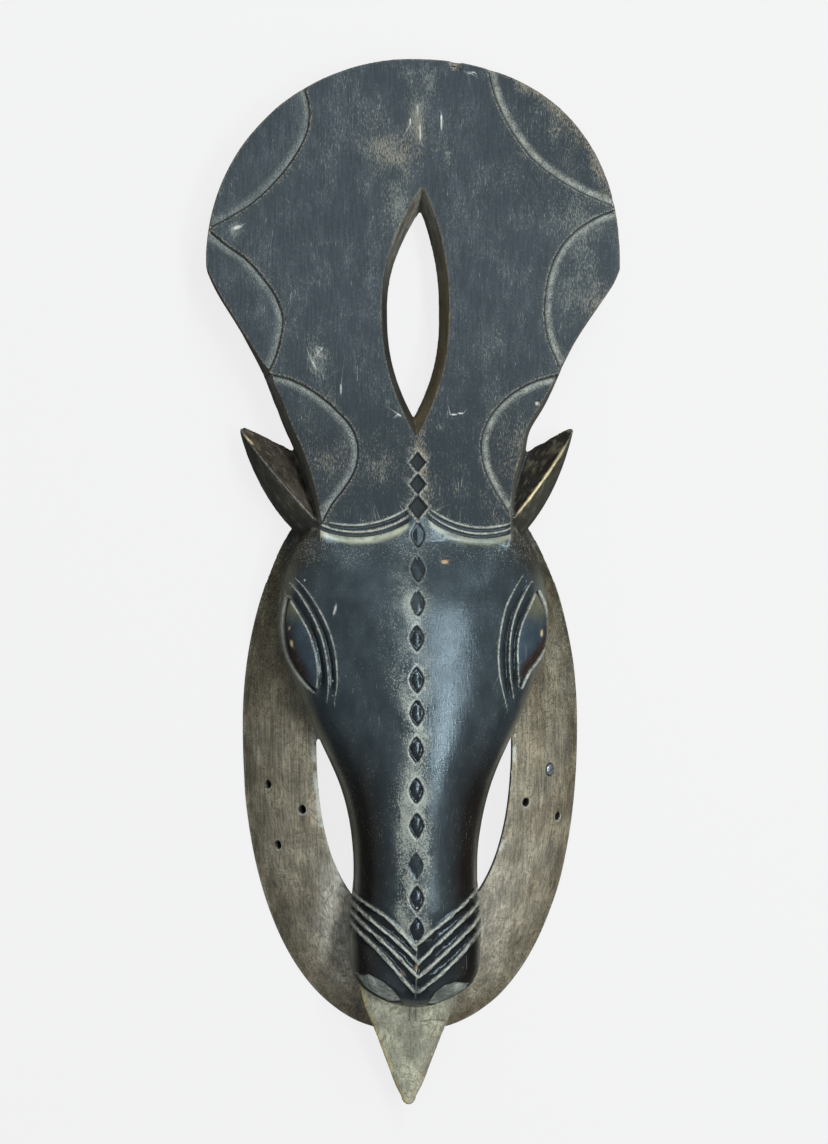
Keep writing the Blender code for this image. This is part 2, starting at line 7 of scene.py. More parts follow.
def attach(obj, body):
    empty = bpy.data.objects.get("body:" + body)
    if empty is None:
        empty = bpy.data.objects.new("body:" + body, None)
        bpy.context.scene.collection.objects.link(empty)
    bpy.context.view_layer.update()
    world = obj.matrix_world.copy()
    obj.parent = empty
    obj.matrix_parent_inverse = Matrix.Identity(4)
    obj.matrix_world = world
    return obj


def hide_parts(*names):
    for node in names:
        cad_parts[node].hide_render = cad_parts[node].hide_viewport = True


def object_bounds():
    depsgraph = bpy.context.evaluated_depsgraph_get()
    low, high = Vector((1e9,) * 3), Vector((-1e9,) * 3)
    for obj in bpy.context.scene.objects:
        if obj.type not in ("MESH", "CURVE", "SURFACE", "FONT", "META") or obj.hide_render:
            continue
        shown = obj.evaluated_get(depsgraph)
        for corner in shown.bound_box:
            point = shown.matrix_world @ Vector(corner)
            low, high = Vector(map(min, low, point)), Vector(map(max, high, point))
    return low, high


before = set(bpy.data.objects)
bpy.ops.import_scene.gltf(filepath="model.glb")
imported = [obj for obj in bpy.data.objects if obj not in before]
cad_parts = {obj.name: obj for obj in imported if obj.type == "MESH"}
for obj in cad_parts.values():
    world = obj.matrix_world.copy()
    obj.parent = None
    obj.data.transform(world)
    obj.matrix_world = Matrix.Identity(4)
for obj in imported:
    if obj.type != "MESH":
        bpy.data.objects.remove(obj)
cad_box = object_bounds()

# Crest: the broad flat plate that stands for the fused horns. It is one block of dark wood
# with the head; its front is a plane that falls to the top, and its low walls flare to the back.
CREST_THICK = 28.0
CREST_FLARE = 4.5
CREST_HALF = 124.0
ROUND_FROM, ROUND_CENTRE, ROUND_HEIGHT = 188, 191.5, 123.5
LEFT_FLANK = (
    (27, 56.2), (45, 57), (60, 60.4), (75, 65), (94, 73.4), (109, 79.3), (124, 86.5),
    (152, 104), (181, 120.7), (188, 123.7),
)
RIGHT_FLANK = (
    (27, 57), (45, 57.2), (60, 58.8), (78, 64), (93, 67.5), (104, 74), (123, 85), (145, 97),
    (166, 111), (181, 121), (188, 124.0),
)


def through(stations, at, column=1):
    """Smooth curve through a column of the stations: cubic between neighbours, flat past the ends."""
    rows = np.array(sorted(stations), dtype=float)
    places, values = rows[:, 0], rows[:, column]
    slopes = np.gradient(values, places)
    at = np.clip(np.asarray(at, dtype=float), places[0], places[-1])
    index = np.clip(np.searchsorted(places, at) - 1, 0, len(places) - 2)
    step = places[index + 1] - places[index]
    t = (at - places[index]) / step
    value = values[index] * (1 + 2 * t) * (1 - t) ** 2 + values[index + 1] * t ** 2 * (3 - 2 * t)
    return value + step * (slopes[index] * t * (1 - t) ** 2 + slopes[index + 1] * t ** 2 * (t - 1))


def crest_half(y, side):
    """Half width of the plate: flank table, then a circle on the left and a power 2.3 oval on the right."""
    power = 2.3 if side > 0 else 2.0
    up = np.clip((y - ROUND_CENTRE) / ROUND_HEIGHT, 0.0, 1.0)
    round_top = CREST_HALF * (1 - up ** power) ** (1 / power)
    return np.where(y > ROUND_FROM, round_top, through(RIGHT_FLANK if side > 0 else LEFT_FLANK, y))


def crest_front(y):
    """Height of the plate's front: a straight fall from 51 mm at the head to 27 mm at the top."""
    return 51 - 24 * (y - 27) / 288


def form(name, rings):
    """Closed mesh of rings of points in millimetres, rings[row, place]; both ends are fans."""
    rows, count = rings.shape[:2]
    points = np.concatenate([rings.reshape(-1, 3), rings[:1].mean(1), rings[-1:].mean(1)])
    index = np.arange(rows * count).reshape(rows, count)
    after = np.roll(index, -1, axis=1)
    quads = np.stack([index[:-1], after[:-1], after[1:], index[1:]], axis=-1).reshape(-1, 4)
    foot = np.stack([after[0], index[0], np.full(count, rows * count)], axis=-1)
    head = np.stack([index[-1], after[-1], np.full(count, rows * count + 1)], axis=-1)
    mesh = bpy.data.meshes.new(name)
    mesh.from_pydata((points * 0.001).tolist(), [], quads.tolist() + foot.tolist() + head.tolist())
    shell = bmesh.new()
    shell.from_mesh(mesh)
    bmesh.ops.recalc_face_normals(shell, faces=shell.faces)
    shell.to_mesh(mesh)
    shell.free()
    obj = bpy.data.objects.new(name, mesh)
    bpy.context.scene.collection.objects.link(obj)
    return obj


turn = np.radians(np.linspace(0, 89.4, 90))
rows = np.concatenate([np.linspace(20, ROUND_FROM, 110), ROUND_CENTRE + ROUND_HEIGHT * np.sin(turn)])
front, back = crest_front(rows), np.maximum(0.0, crest_front(rows) - CREST_THICK)
flare = CREST_FLARE * np.clip((150 - rows) / 40, 0, 1)
left, right = -crest_half(rows, -1), crest_half(rows, 1)
crest = form("crest", np.stack([
    np.stack([left, rows, front], -1), np.stack([right, rows, front], -1),
    np.stack([right + flare, rows, back], -1), np.stack([left - flare, rows, back], -1),
], axis=1))


# Lens: the pointed opening between the two horns of the crest, smaller at its back.
along = np.concatenate([-np.cos(np.linspace(0, np.pi, 60))[:-1], np.cos(np.linspace(0, np.pi, 60))[:-1]])
lens_side = np.repeat([1.0, -1.0], 59)
LENS_CENTRE, LENS_REACH, LENS_HALF = 162.3, 75.3, 20.1
lens_rings = []
for depth in (-4.0, 0.0, 10.0, 20.0, 32.0):
    shrink = depth / CREST_THICK
    y = LENS_CENTRE + LENS_REACH * along
    half = (LENS_HALF - 4.5 * shrink) * (1 - np.abs(along) ** 2.2)
    x = 0.8 + 4.7 * np.maximum(0, along) ** 2 + lens_side * half
    lens_rings.append(np.stack([x, y - along * 12 * shrink, crest_front(y) - depth], -1))
lens = form("lens", np.array(lens_rings))


# Collar band: the shell round the wearer's face, which rises from its rim to its inner edge,
# with the hollow for the face behind it and a low vault cut up under the head.
BAND_Y = -85.0
BAND_RIM = (102.6, 168, 189)
BAND_GAP = (58.5, 100, 118)
BAND_SLOPE, BAND_WALL = 42, 11.5
around = np.radians(np.arange(0, 360, 1.0))


def oval(angle, across, up, down, power_up, power_down):
    """Radius at an angle of an egg-shaped line: (|cos/a|^n + |sin/b|^n)^(-1/n), two values of b and n."""
    above = np.sin(angle) > 0
    high, power = np.where(above, up, down), np.where(above, power_up, power_down)
    return (np.abs(np.cos(angle) / across) ** power + np.abs(np.sin(angle) / high) ** power) ** (-1 / power)


def band_edges(angle):
    """Radius of the band's outer rim and of its inner edge."""
    return oval(angle, *BAND_RIM, 2, 2.25), oval(angle, *BAND_GAP, 2, 2.5)


def band_rise(share):
    """Height of the band at a share of its width: a slope of 42 mm that swells by half."""
    return BAND_SLOPE * share * (1 + 0.5 * (1 - share))


def band_front(x, y):
    """Share of the band's width and height of its front over points (x, y)."""
    outer, inner = band_edges(np.arctan2(y - BAND_Y, x))
    share = (outer - np.hypot(x, y - BAND_Y)) / (outer - inner)
    return share, band_rise(share)


def band_ring(share, inset, lift):
    """Ring of the band's slope, drawn in by inset and lowered by lift."""
    outer, inner = band_edges(around)
    radius = outer + (inner - outer) * share - inset * (1 - share)
    height = np.full_like(radius, band_rise(share) - lift)
    return np.stack([radius * np.cos(around), BAND_Y + radius * np.sin(around), height], -1)


band = form("band", np.array([band_ring(share, 0, 0) for share in np.linspace(0, 1, 30)]))
gap_rings = []
for height, widen in ((-4.0, 0.5), (46.0, -0.25)):
    radius = band_edges(around)[1] + widen
    gap_rings.append(np.stack([
        radius * np.cos(around), BAND_Y + radius * np.sin(around), np.full_like(radius, height)], -1))
gap = form("gap", np.array(gap_rings))

hollow_rings = [band_ring(0, BAND_WALL, 4.0)]
for share in np.linspace(0, 1.15, 24):
    hollow_rings.append(band_ring(share, BAND_WALL, 10.9 * min(1, 4 * share)))
VAULT = ((-62, 46, 70, 42.5), (-52, 41, 56, 52.0), (-45, 25, 34, 57.8), (-45, 8, 11, 59))
for centre_y, half_x, half_y, rise in VAULT:
    hollow_rings.append(np.stack([
        half_x * np.cos(around), centre_y + half_y * np.sin(around), np.full_like(around, rise)], -1))
hollow = form("hollow", np.array(hollow_rings))


# Head and muzzle: a long rounded ridge, deep under the brow and slim at the muzzle,
# that ends in a round nose.
HEAD = (
    (44, 50, 47, 26), (27, 68, 50.3, 30), (8, 76.5, 63, 34), (-10, 79.5, 75, 37),
    (-34, 79.5, 85.5, 40), (-62, 70, 92.3, 42), (-92, 57, 95, 44), (-120, 44.6, 93.3, 49),
    (-148, 38, 90.5, 51), (-172, 36.6, 87.8, 50), (-196, 38.8, 85.8, 49), (-224, 38.5, 81.5, 47),
)
NOSE_Y, NOSE_LONG = -224, 27


def head_size(y):
    """Half width, ridge height and widest-line height at y; past NOSE_Y the nose rounds off."""
    beyond = np.clip((NOSE_Y - y) / NOSE_LONG, 0, 1)
    half = through(HEAD, y, 1) * np.sqrt(1 - beyond ** 2)
    return half, through(HEAD, y, 2) - 28 * beyond ** 2.5, through(HEAD, y, 3)


def arch_power(y):
    """Power of the arch across the head: 2.3, squarer where the head runs into the flat crest."""
    return 2.3 + 5.2 * np.clip((y + 4) / 30, 0, 1) ** 1.5


def head_front(x, y):
    """Height of the head's front: an arch across, from the widest line to the ridge."""
    half, ridge, widest = head_size(y)
    share = np.minimum(0.999, np.abs(x) / np.maximum(half, 1e-3))
    return widest + (ridge - widest) * np.sqrt(1 - share ** arch_power(y))


turn = np.radians(np.linspace(3, 89, 40))
rows = np.concatenate([np.linspace(44, NOSE_Y, 180), NOSE_Y - NOSE_LONG * np.sin(turn)])
half, ridge, widest = (value[:, None] for value in head_size(rows))
slim = np.clip((-80 - rows) / 50, 0, 1)[:, None]
power, low = 4 - 1.8 * slim, 14 + 14 * slim
arch = np.radians(np.linspace(-90, 90, 121))[None]
under = np.radians(np.linspace(0, 180, 61))[None, 1:-1]
over_x = half * np.sign(arch) * np.abs(np.sin(arch)) ** (2 / arch_power(rows)[:, None])
over_z = widest + (ridge - widest) * np.cos(arch)
under_x = half * np.sign(np.cos(under)) * np.abs(np.cos(under)) ** (2 / power)
under_z = widest - (widest - low) * np.sin(under) ** (2 / power)
ring_x, ring_z = np.hstack([over_x, under_x]), np.hstack([over_z, under_z])
ring_y = np.broadcast_to(rows[:, None], ring_x.shape)
head = form("head", np.stack([ring_x, ring_y, ring_z], -1))


# Ears: folded leaves carved in one with the block. A sharp ridge parts the outer side from
# the scooped inner side.
def bowed(start, middle, end, t):
    """Curve through three points, the middle one at t = 0.5."""
    t = np.asarray(t, dtype=float)[..., None]
    start, middle, end = np.asarray(start, float), np.asarray(middle, float), np.asarray(end, float)
    return start * (1 - t) * (1 - 2 * t) + middle * 4 * t * (1 - t) + end * t * (2 * t - 1)


EAR_REACH = {-1: 104.5, 1: 98.0}
ears = []
for side, reach in EAR_REACH.items():
    t = np.linspace(0, 1, 60)
    outer = bowed((64, 24, 12), (89, 54, 16), (104.5, 93, 19), t)
    ridge_line = bowed((54, 32, 40), (83.5, 65, 41), (103.8, 92, 23), t)
    inner = bowed((48, 68, 16), (82, 85, 19), (101.5, 94, 19), t)
    back_line = bowed((50, 44, 4), (83, 68, 9), (103, 93, 17), t)
    fade = (1 - t)[:, None]
    outer_mid = (outer + ridge_line) / 2 + np.array((1.6, -1.6, 1.2)) * fade
    inner_mid = (ridge_line + inner) / 2 - np.array((1.0, 1.0, 4.0)) * fade
    s = np.linspace(0, 1, 13)[:-1]
    pieces = [bowed(outer[:, None], outer_mid[:, None], ridge_line[:, None], s[None])]
    pieces.append(bowed(ridge_line[:, None], inner_mid[:, None], inner[:, None], s[None]))
    pieces.append(inner[:, None] + (back_line - inner)[:, None] * s[None, :, None])
    pieces.append(back_line[:, None] + (outer - back_line)[:, None] * s[None, :, None])
    rings = np.concatenate(pieces, axis=1)
    rings[..., 0] = side * (54 + (rings[..., 0] - 54) * (reach - 54) / 50.5)
    ears.append(form("left_ear" if side < 0 else "right_ear", rings))
    ear_ridge = np.stack([side * (54 + (ridge_line[:, 0] - 54) * (reach - 54) / 50.5), ridge_line[:, 1]], -1)


# Chin: a tapered tongue below the nose, slightly crowned and narrower at its back.
CHIN = (
    (-232, 32.0, 40), (-252, 27.8, 36), (-270, 20.5, 31), (-289, 13.3, 27), (-303, 8.0, 24), (-312, 3.2, 22),
)
CHIN_X, CHIN_TIP = -2.3, -310
turn = np.radians(np.linspace(5, 88, 20))
rows = np.concatenate([np.linspace(-232, CHIN_TIP, 60), CHIN_TIP - 4.6 * np.sin(turn)])
beyond = np.clip((CHIN_TIP - rows) / 4.6, 0, 1)
half = (through(CHIN, np.maximum(rows, CHIN_TIP), 1) * np.sqrt(1 - beyond ** 2))[:, None]
front = through(CHIN, np.maximum(rows, CHIN_TIP), 2)[:, None]
thick = 22 * (0.45 + 0.55 * half / 32)
across = np.linspace(-1, 1, 41)[None]
top = front - thick * 0.16 * np.abs(across) ** 2.2
down = np.linspace(0, 1, 12)[None, 1:]
right_x, right_z = half * (1 - 0.3 * down), front - thick * (0.16 + 0.84 * down)
base = np.linspace(0.7, -0.7, 12)[None, 1:-1]
ring_x = np.hstack([half * across, right_x, half * base, -right_x[:, ::-1]]) + CHIN_X
ring_z = np.hstack([top, right_z, np.repeat(front - thick, 10, axis=1), right_z[:, ::-1]])
ring_y = np.broadcast_to(rows[:, None], ring_x.shape)
chin = form("chin", np.stack([ring_x, ring_y, ring_z], -1))


# Lashing holes: five bores through the band for the cord that held the mask on, and the bore
# and seat of the screw. All are bored square to the front of the band.
def place_on_band(x, y):
    """Point on the band's front and the unit normal there."""
    step = 0.25
    z = band_front(x, y)[1]
    rise_x = (band_front(x + step, y)[1] - band_front(x - step, y)[1]) / (2 * step)
    rise_y = (band_front(x, y + step)[1] - band_front(x, y - step)[1]) / (2 * step)
    normal = np.array((-rise_x, -rise_y, 1.0))
    return np.array((x, y, z), dtype=float), normal / np.linalg.norm(normal)


def turned(name, centre, axis, profile, count=32):
    """Closed form turned round an axis; the profile is rows of radius and height along the axis."""
    side = np.cross(axis, (0.0, 1.0, 0.0))
    side /= np.linalg.norm(side)
    other = np.cross(axis, side)
    angle = np.linspace(0, 2 * np.pi, count, endpoint=False)
    radius, height = np.array(profile, dtype=float).T
    ring = np.cos(angle)[:, None] * side + np.sin(angle)[:, None] * other
    return form(name, centre + radius[:, None, None] * ring[None] + height[:, None, None] * axis)


HOLES = ((-87.2, -121.5), (-66.9, -135.2), (-81.2, -157.8), (67.5, -131.5), (89.1, -141.9))
SCREW_PLACE = (83.3, -112.9)
bores = []
for number, place in enumerate(HOLES):
    bores.append(turned(f"bore_{number}", *place_on_band(*place), ((2.4, 4), (2.4, -17.3))))
SCREW_BORE = ((3.5, 4), (3.5, -1.6), (2.1, -1.6), (2.1, -17.3))
bores.append(turned("screw_bore", *place_on_band(*SCREW_PLACE), SCREW_BORE))


# The block: all the forms joined as one piece of wood and remeshed evenly, so that the carving
# can be cut into it.
VOXEL = 0.00075
for part_form, operation, target in (
    [(gap, "DIFFERENCE", band)]
    + [(part_form, "UNION", crest) for part_form in (head, band, *ears, chin)]
    + [(part_form, "DIFFERENCE", crest) for part_form in (hollow, lens, *bores)]
):
    joint = target.modifiers.new(part_form.name, "BOOLEAN")
    joint.operation = operation
    joint.solver = "MANIFOLD"
    joint.object = part_form
remesh = crest.modifiers.new("even_mesh", "REMESH")
remesh.mode = "VOXEL"
remesh.voxel_size = VOXEL
block = bpy.data.meshes.new_from_object(crest.evaluated_get(bpy.context.evaluated_depsgraph_get()))
for part_form in (gap, head, band, *ears, chin, hollow, lens, *bores, crest):
    bpy.data.objects.remove(part_form, do_unlink=True)


def mesh_points(mesh):
    """Points and normals of a mesh, in millimetres."""
    points, normals = np.empty(len(mesh.vertices) * 3), np.empty(len(mesh.vertices) * 3)
    mesh.vertices.foreach_get("co", points)
    mesh.vertices.foreach_get("normal", normals)
    return points.reshape(-1, 3) * 1000, normals.reshape(-1, 3)


points, normals = mesh_points(block)
edges = np.empty(len(block.edges) * 2, dtype=np.int32)
block.edges.foreach_get("vertices", edges)
edges = edges.reshape(-1, 2)


def spread(values, times):
    """Average each point's value with its neighbours' along the edges, so many times."""
    a, b = edges.T
    count = len(points)
    degree = np.bincount(a, minlength=count) + np.bincount(b, minlength=count)
    for _ in range(times):
        total = np.bincount(a, values[b], count) + np.bincount(b, values[a], count)
        values = 0.5 * values + 0.5 * total / degree
    return values


for axis in range(3):
    points[:, axis] = spread(points[:, axis], 3)
# the band's thin rim goes back on its own line
radius = np.hypot(points[:, 0], points[:, 1] - BAND_Y)
rim_line = band_edges(np.arctan2(points[:, 1] - BAND_Y, points[:, 0]))[0]
at_rim = (np.abs(radius - rim_line) < 1.2) & (points[:, 2] < 1.3) & (points[:, 1] < 0)
pull = ((rim_line - 0.25) / radius)[at_rim, None]
points[at_rim, :2] = (points[at_rim, :2] - (0, BAND_Y)) * pull + (0, BAND_Y)
x, y, z = points.T
facing = normals[:, 2]


def ramp(value, start, end):
    """Smooth step from 0 at start to 1 at end; start may be the larger."""
    t = np.clip((value - start) / (end - start), 0, 1)
    return t * t * (3 - 2 * t)


def grain_noise(cell, seed, stretch=(1, 1, 1)):
    """Noise from -1 to 1 at the points: random values at the corners of cells, smoothly blended."""
    place = points / (cell * np.array(stretch))
    low = np.floor(place).astype(np.int64)
    part = place - low
    part = part * part * (3 - 2 * part)
    values = np.random.default_rng(seed).uniform(-1, 1, 4096)
    total = np.zeros(len(points))
    for corner in np.ndindex(2, 2, 2):
        key = (low + corner) * (73856093, 19349663, 83492791)
        weight = np.where(corner, part, 1 - part).prod(1)
        total += values[(key[:, 0] ^ key[:, 1] ^ key[:, 2]) % 4096] * weight
    return total


depth = np.zeros(len(points))
worn_and_glint = np.zeros(len(points))
dark_and_shade = np.zeros(len(points))
dust = np.zeros(len(points))


def smooth_line(stations, reach=0.0, steps=8):
    """Even curve through the stations (Catmull-Rom), its two ends drawn out by reach."""
    p = np.array(stations, dtype=float)
    first, last = p[0] - p[1], p[-1] - p[-2]
    p = np.vstack([p[:1] + first, p, p[-1:] + last])
    t = np.linspace(0, 1, steps, endpoint=False)[:, None, None]
    a, b, c, d = p[:-3], p[1:-2], p[2:-1], p[3:]
    curve = 2 * b + (c - a) * t + (2 * a - 5 * b + 4 * c - d) * t ** 2 + (3 * b - a - 3 * c + d) * t ** 3
    curve = np.vstack([curve.transpose(1, 0, 2).reshape(-1, 2) / 2, p[-2:-1]])
    if reach:
        curve = np.vstack([curve[:1] + first / np.hypot(*first) * reach, curve,
                           curve[-1:] + last / np.hypot(*last) * reach])
    return curve


def near(line, margin):
    """Indices of the front's points within the margin of the line's box."""
    low, high = line.min(0) - margin, line.max(0) + margin
    box = (x > low[0]) & (x < high[0]) & (y > low[1]) & (y < high[1])
    return np.flatnonzero(box & (facing > 0.02) & (z > 12))


def beside(line, x, y):
    """Distance from a line, positive on its left, and the share of its length at the nearest place."""
    best, side, share = np.full(x.shape, 1e9), np.ones(x.shape), np.zeros(x.shape)
    lengths = np.concatenate([[0], np.cumsum(np.hypot(*np.diff(line, axis=0).T))])
    for (ax, ay), (bx, by), start, end in zip(line, line[1:], lengths, lengths[1:]):
        dx, dy = bx - ax, by - ay
        t = np.clip(((x - ax) * dx + (y - ay) * dy) / (dx * dx + dy * dy + 1e-12), 0, 1)
        gap_x, gap_y = x - ax - t * dx, y - ay - t * dy
        distance = np.hypot(gap_x, gap_y)
        closer = distance < best
        best = np.where(closer, distance, best)
        side = np.where(closer, np.sign(dx * gap_y - dy * gap_x), side)
        share = np.where(closer, (start + t * (end - start)) / lengths[-1], share)
    return best * np.where(side == 0, 1, side), share


def cut(here, amount):
    """Deepen the carving at the points to the amount."""
    depth[here] = np.maximum(depth[here], amount)


def mark(field, here, amount):
    """Raise a wear field at the points to the amount."""
    field[here] = np.maximum(field[here], amount)


# Scallops: six bowed lines along the crest's rim. Each is a stop-cut, steep towards the
# plate's middle, with a rubbed bevel that climbs to the scallop's field.
BEVEL = 5.2
SCALLOPS = (
    # side, how rubbed, line
    (-1, 0.40, ((-65.1, 295.3), (-62.6, 284.4), (-63.8, 270.4), (-70.5, 256.4), (-80.7, 242.4),
          (-94.4, 228.5), (-108.2, 219.1), (-119.3, 213))),
    (-1, 0.48, ((-121, 208.7), (-111.6, 200.9), (-99.6, 192.2), (-89.3, 180.2), (-82.5, 170),
          (-78.4, 157.3), (-79.9, 144.7), (-83.3, 132.7), (-87.3, 124.9))),
    (-1, 0.60, ((-85.8, 123.7), (-73.9, 120.7), (-60.3, 113.6), (-46.6, 102.5), (-37.4, 91.5),
          (-33.8, 79.5), (-35.7, 67.6), (-41.6, 57.1), (-49.4, 46.8), (-54.4, 37.5))),
    (1, 0.85, ((46.2, 306.3), (49.5, 293.2), (55.4, 279.2), (63.9, 265.2), (74.1, 253), (87.8, 242.6),
         (103.1, 234), (120.3, 226.9))),
    (1, 0.85, ((121.1, 223.5), (109.9, 219.1), (96, 209.6), (85.6, 195.9), (80.3, 180.2), (78.5, 164.5),
         (78.5, 158.5), (80.7, 144.7), (85.9, 131.7))),
    (1, 0.90, ((84.6, 123.7), (71.2, 119.7), (57.5, 111.9), (47.2, 101.6), (41.1, 89.7), (39.9, 77.7),
         (42.6, 65.8), (48.5, 53.9), (54.3, 44.4))),
)
rough = grain_noise(2.4, 11) * 0.7 + grain_noise(5, 12) * 0.5
for side, rubbed, stations in SCALLOPS:
    line = smooth_line(stations, reach=3)
    here = near(line, 8)
    off = beside(line, x[here], y[here])[0] * side
    cut(here, 1.9 * np.where(off > 0, 1 - off / BEVEL, 1 + off / 0.8).clip(0, 1))
    broken = (0.85 + 0.4 * rough[here]).clip(0.3, 1)
    mark(worn_and_glint, here, 0.78 * rubbed * broken * ramp(off, 0.1, 0.8) * ramp(off, BEVEL + 0.2, 2.0))
    # painted shadow: a thin black line along the foot of each stop-cut
    mark(dark_and_shade, here, 0.55 * ramp(np.abs(off + 0.2), 0.7, 0.1))

# Forehead lines: two sagging lines on each side where the plate meets the head, each a sharp
# lip over a round groove, with a pale cove below them.
FOREHEAD = (
    ((-36.9, 91.3, 57.4, -51, -4), (-34.5, 84.2, 54.4, -57, -4)),
    ((40.6, 83.7, 51.2, 9, 56), (39.7, 76.1, 47.1, 8, 57)),
)
past_lines = np.zeros(len(points), dtype=bool)
cove = np.zeros(len(points))
for pair in FOREHEAD:
    for order, (centre_x, centre_y, radius, start, end) in enumerate(pair):
        box = (x > start - 4) & (x < end + 4) & (y > 0) & (y < 60)
        here = np.flatnonzero(box & (facing > 0.1) & (z > 30))
        off = np.hypot(x[here] - centre_x, y[here] - centre_y) - radius
        inside = ramp(x[here], start - 1.5, start + 2) * ramp(x[here], end + 1.5, end - 2)
        cut(here, 1.5 * ramp(off, -0.2, 0.7) * ramp(off, 3.4, 1.8) * inside)
        mark(dark_and_shade, here, 0.95 * ramp(off, 0.2, 0.7) * ramp(off, 3.0, 1.9) * inside)
        broken = (0.85 + 0.3 * rough[here]).clip(0.4, 1)
        mark(worn_and_glint, here, ramp(np.abs(off + 0.3), 0.85, 0.2) * inside * broken)
        if order == 1:
            tapered = inside * ramp(x[here], start, start + 12) * ramp(x[here], end, end - 12)
            cut(here, 1.0 * ramp(off, 2.6, 3.4) * ramp(off, 9.5, 4.0) * tapered)
            ragged = off + 1.5 * rough[here]
            clear = 1.0 if start < 0 else 0.6
            mark(cove, here, ramp(off, 2.6, 3.2) * ramp(ragged, 8.0, 4.6) * inside * clear)
            past_lines[here] |= off > 3.0

# Eyes: a pointed lens with a convex ball, a bright outer rim with a moat inside it, and two
# stop-cut brow steps on its inner side that rise to sharp lips.
EYES = (
    (-1, ((-76.1, -7.3), (-79.1, -20.3), (-78.5, -32.4), (-75.5, -43.9), (-69.9, -53.8),
     (-64.6, -60.2), (-59, -64.7)),
     ((-76.1, -7.3), (-69.3, -17.6), (-64, -27.1), (-60.5, -37.2), (-58.5, -47.2), (-58.2, -54.8),
       (-59, -64.7)),
     ((-75.1, 1.1), (-68.1, -7.5), (-61, -19.3), (-55.9, -31.8), (-53, -45.9), (-52.1, -57.7),
       (-52.8, -69.2)),
     ((-73, 4.5), (-66.2, -2.1), (-59.2, -12.2), (-52.9, -24.6), (-48.8, -37.6), (-47.4, -49.3),
      (-47.2, -58.8), (-48.5, -69.3))),
    (1, ((72.7, -3.3), (78.9, -14.9), (81, -25.9), (80.3, -34.9), (74.8, -43.8), (67.1, -52.2),
     (60.7, -63.2)),
     ((72.7, -3.3), (67.6, -12.9), (62, -23.6), (59.1, -34.2), (58.8, -43.1), (59.4, -54.8), (60.7, -63.2)),
     ((69.6, 2.1), (63.3, -7.5), (57.7, -18.7), (54.4, -31.8), (53.6, -45.9), (54.5, -56.6), (56.5, -68.2)),
     ((64.4, 6), (57.8, -3.9), (52.3, -14), (48.7, -27), (46.9, -39.9), (47.3, -51.6), (49.2, -61.8),
       (52.2, -74))),
)
ball, rust = np.zeros(len(points)), np.zeros(len(points))
for side, *stations in EYES:
    outer, inner, lip, last = (smooth_line(rows) for rows in stations)
    here = near(np.vstack([outer, last]), 6)
    # distances, positive inside the eye from both its lines, and towards the eye from the two lips
    a, share = beside(outer, x[here], y[here])
    b = beside(inner, x[here], y[here])[0]
    to_lip, share_lip = beside(lip, x[here], y[here])
    to_last, share_last = beside(last, x[here], y[here])
    a, b, to_lip, to_last = -a * side, b * side, to_lip * side, to_last * side
    inside = (a > 0) & (b > 0)
    swell = np.where(inside, 4 * a * b / (a + b + 1e-6) ** 2, 0)
    cut(here, np.where(inside, 2.3 * ramp(a, 0, 0.8) * ramp(a, 4.2, 1.4), 0))
    depth[here] -= 1.9 * swell
    mark(ball, here, np.where(inside, ramp(a, 1.0, 2.0), 0))
    rusty = ramp(a, 8.5, 4.0) * ramp(y[here], -20, -38) * ramp(y[here], -62, -50)
    mark(rust, here, np.where(inside, rusty, 0))
    # painted shade: the moat inside the outer rim is darkened
    mark(dark_and_shade, here, np.where(inside, ramp(a, 0.3, 0.8) * ramp(a, 2.6, 1.5), 0))
    ends = (share > 0.02) & (share < 0.98)
    broken = (0.80 + 0.4 * rough[here]).clip(0.3, 1)
    mark(worn_and_glint, here, ramp(np.abs(a + 0.4), 1.0, 0.4) * ends * broken)
    mark(worn_and_glint, here, 0.9 * ramp(np.abs(b - 0.1), 0.8, 0.2) * ends * (a > -1) * broken)
    for near_off, far_off, far_share in ((-b, to_lip, share_lip), (-to_lip, to_last, share_last)):
        between = (near_off > 0) & (far_off > 0)
        width = near_off + far_off
        taper = ramp(far_share, 0.0, 0.12) * ramp(far_share, 1.0, 0.84)
        drop = np.minimum(2.6, 0.5 * width) * ramp(near_off, 0, 1.1) * (1 - near_off / (width + 1e-6))
        cut(here, np.where(between, drop * taper, 0))
        # painted shade: the foot of each brow step is darkened, more towards the bottom of the eye
        painted_step_shade = ramp(near_off / (width + 1e-6), 0.72, 0.35) * ramp(width, 0.8, 2.2) * ramp(y[here], 8, -32)
        mark(dark_and_shade, here, np.where(between, painted_step_shade * taper, 0))
        thin = 0.35 + 0.65 * ramp(far_share, 0.0, 0.25) * ramp(far_share, 1.0, 0.75)
        mark(worn_and_glint, here, ramp(np.abs(far_off - 0.1), 0.85 * thin, 0.2 * thin) * (share_lip > 0.01) * broken)

# Chain: lozenges down the middle line. On the head each is a sunk frame round a domed boss,
# partly worn away on the forehead; on the crest they are plain pits.
CHAIN = (
    (1.6, 28.4, 0.5), (0.8, 8.3, 0.5), (0, -11.6, 0.6), (-1.1, -31.7, 0.9), (-1.5, -55.8, 1),
    (-1.6, -74.7, 1),
    (-2, -95.9, 1), (-1.9, -119.6, 1), (-1.5, -139.9, 1), (-1.9, -163.3, 0.45), (-1.3, -182.6, 0.9),
    (-1.2, -201.3, 1),
)
PITS = ((1.7, 71.8, 1.15), (1.7, 58.7, 1.15), (1.6, 45, 1.35))


def round_about(centre_x, centre_y, low):
    """Indices of the front's points in a small box round a place, above the height low."""
    box = (np.abs(x - centre_x) < 8) & (np.abs(y - centre_y) < 13)
    return np.flatnonzero(box & (facing > 0.3) & (z > low))


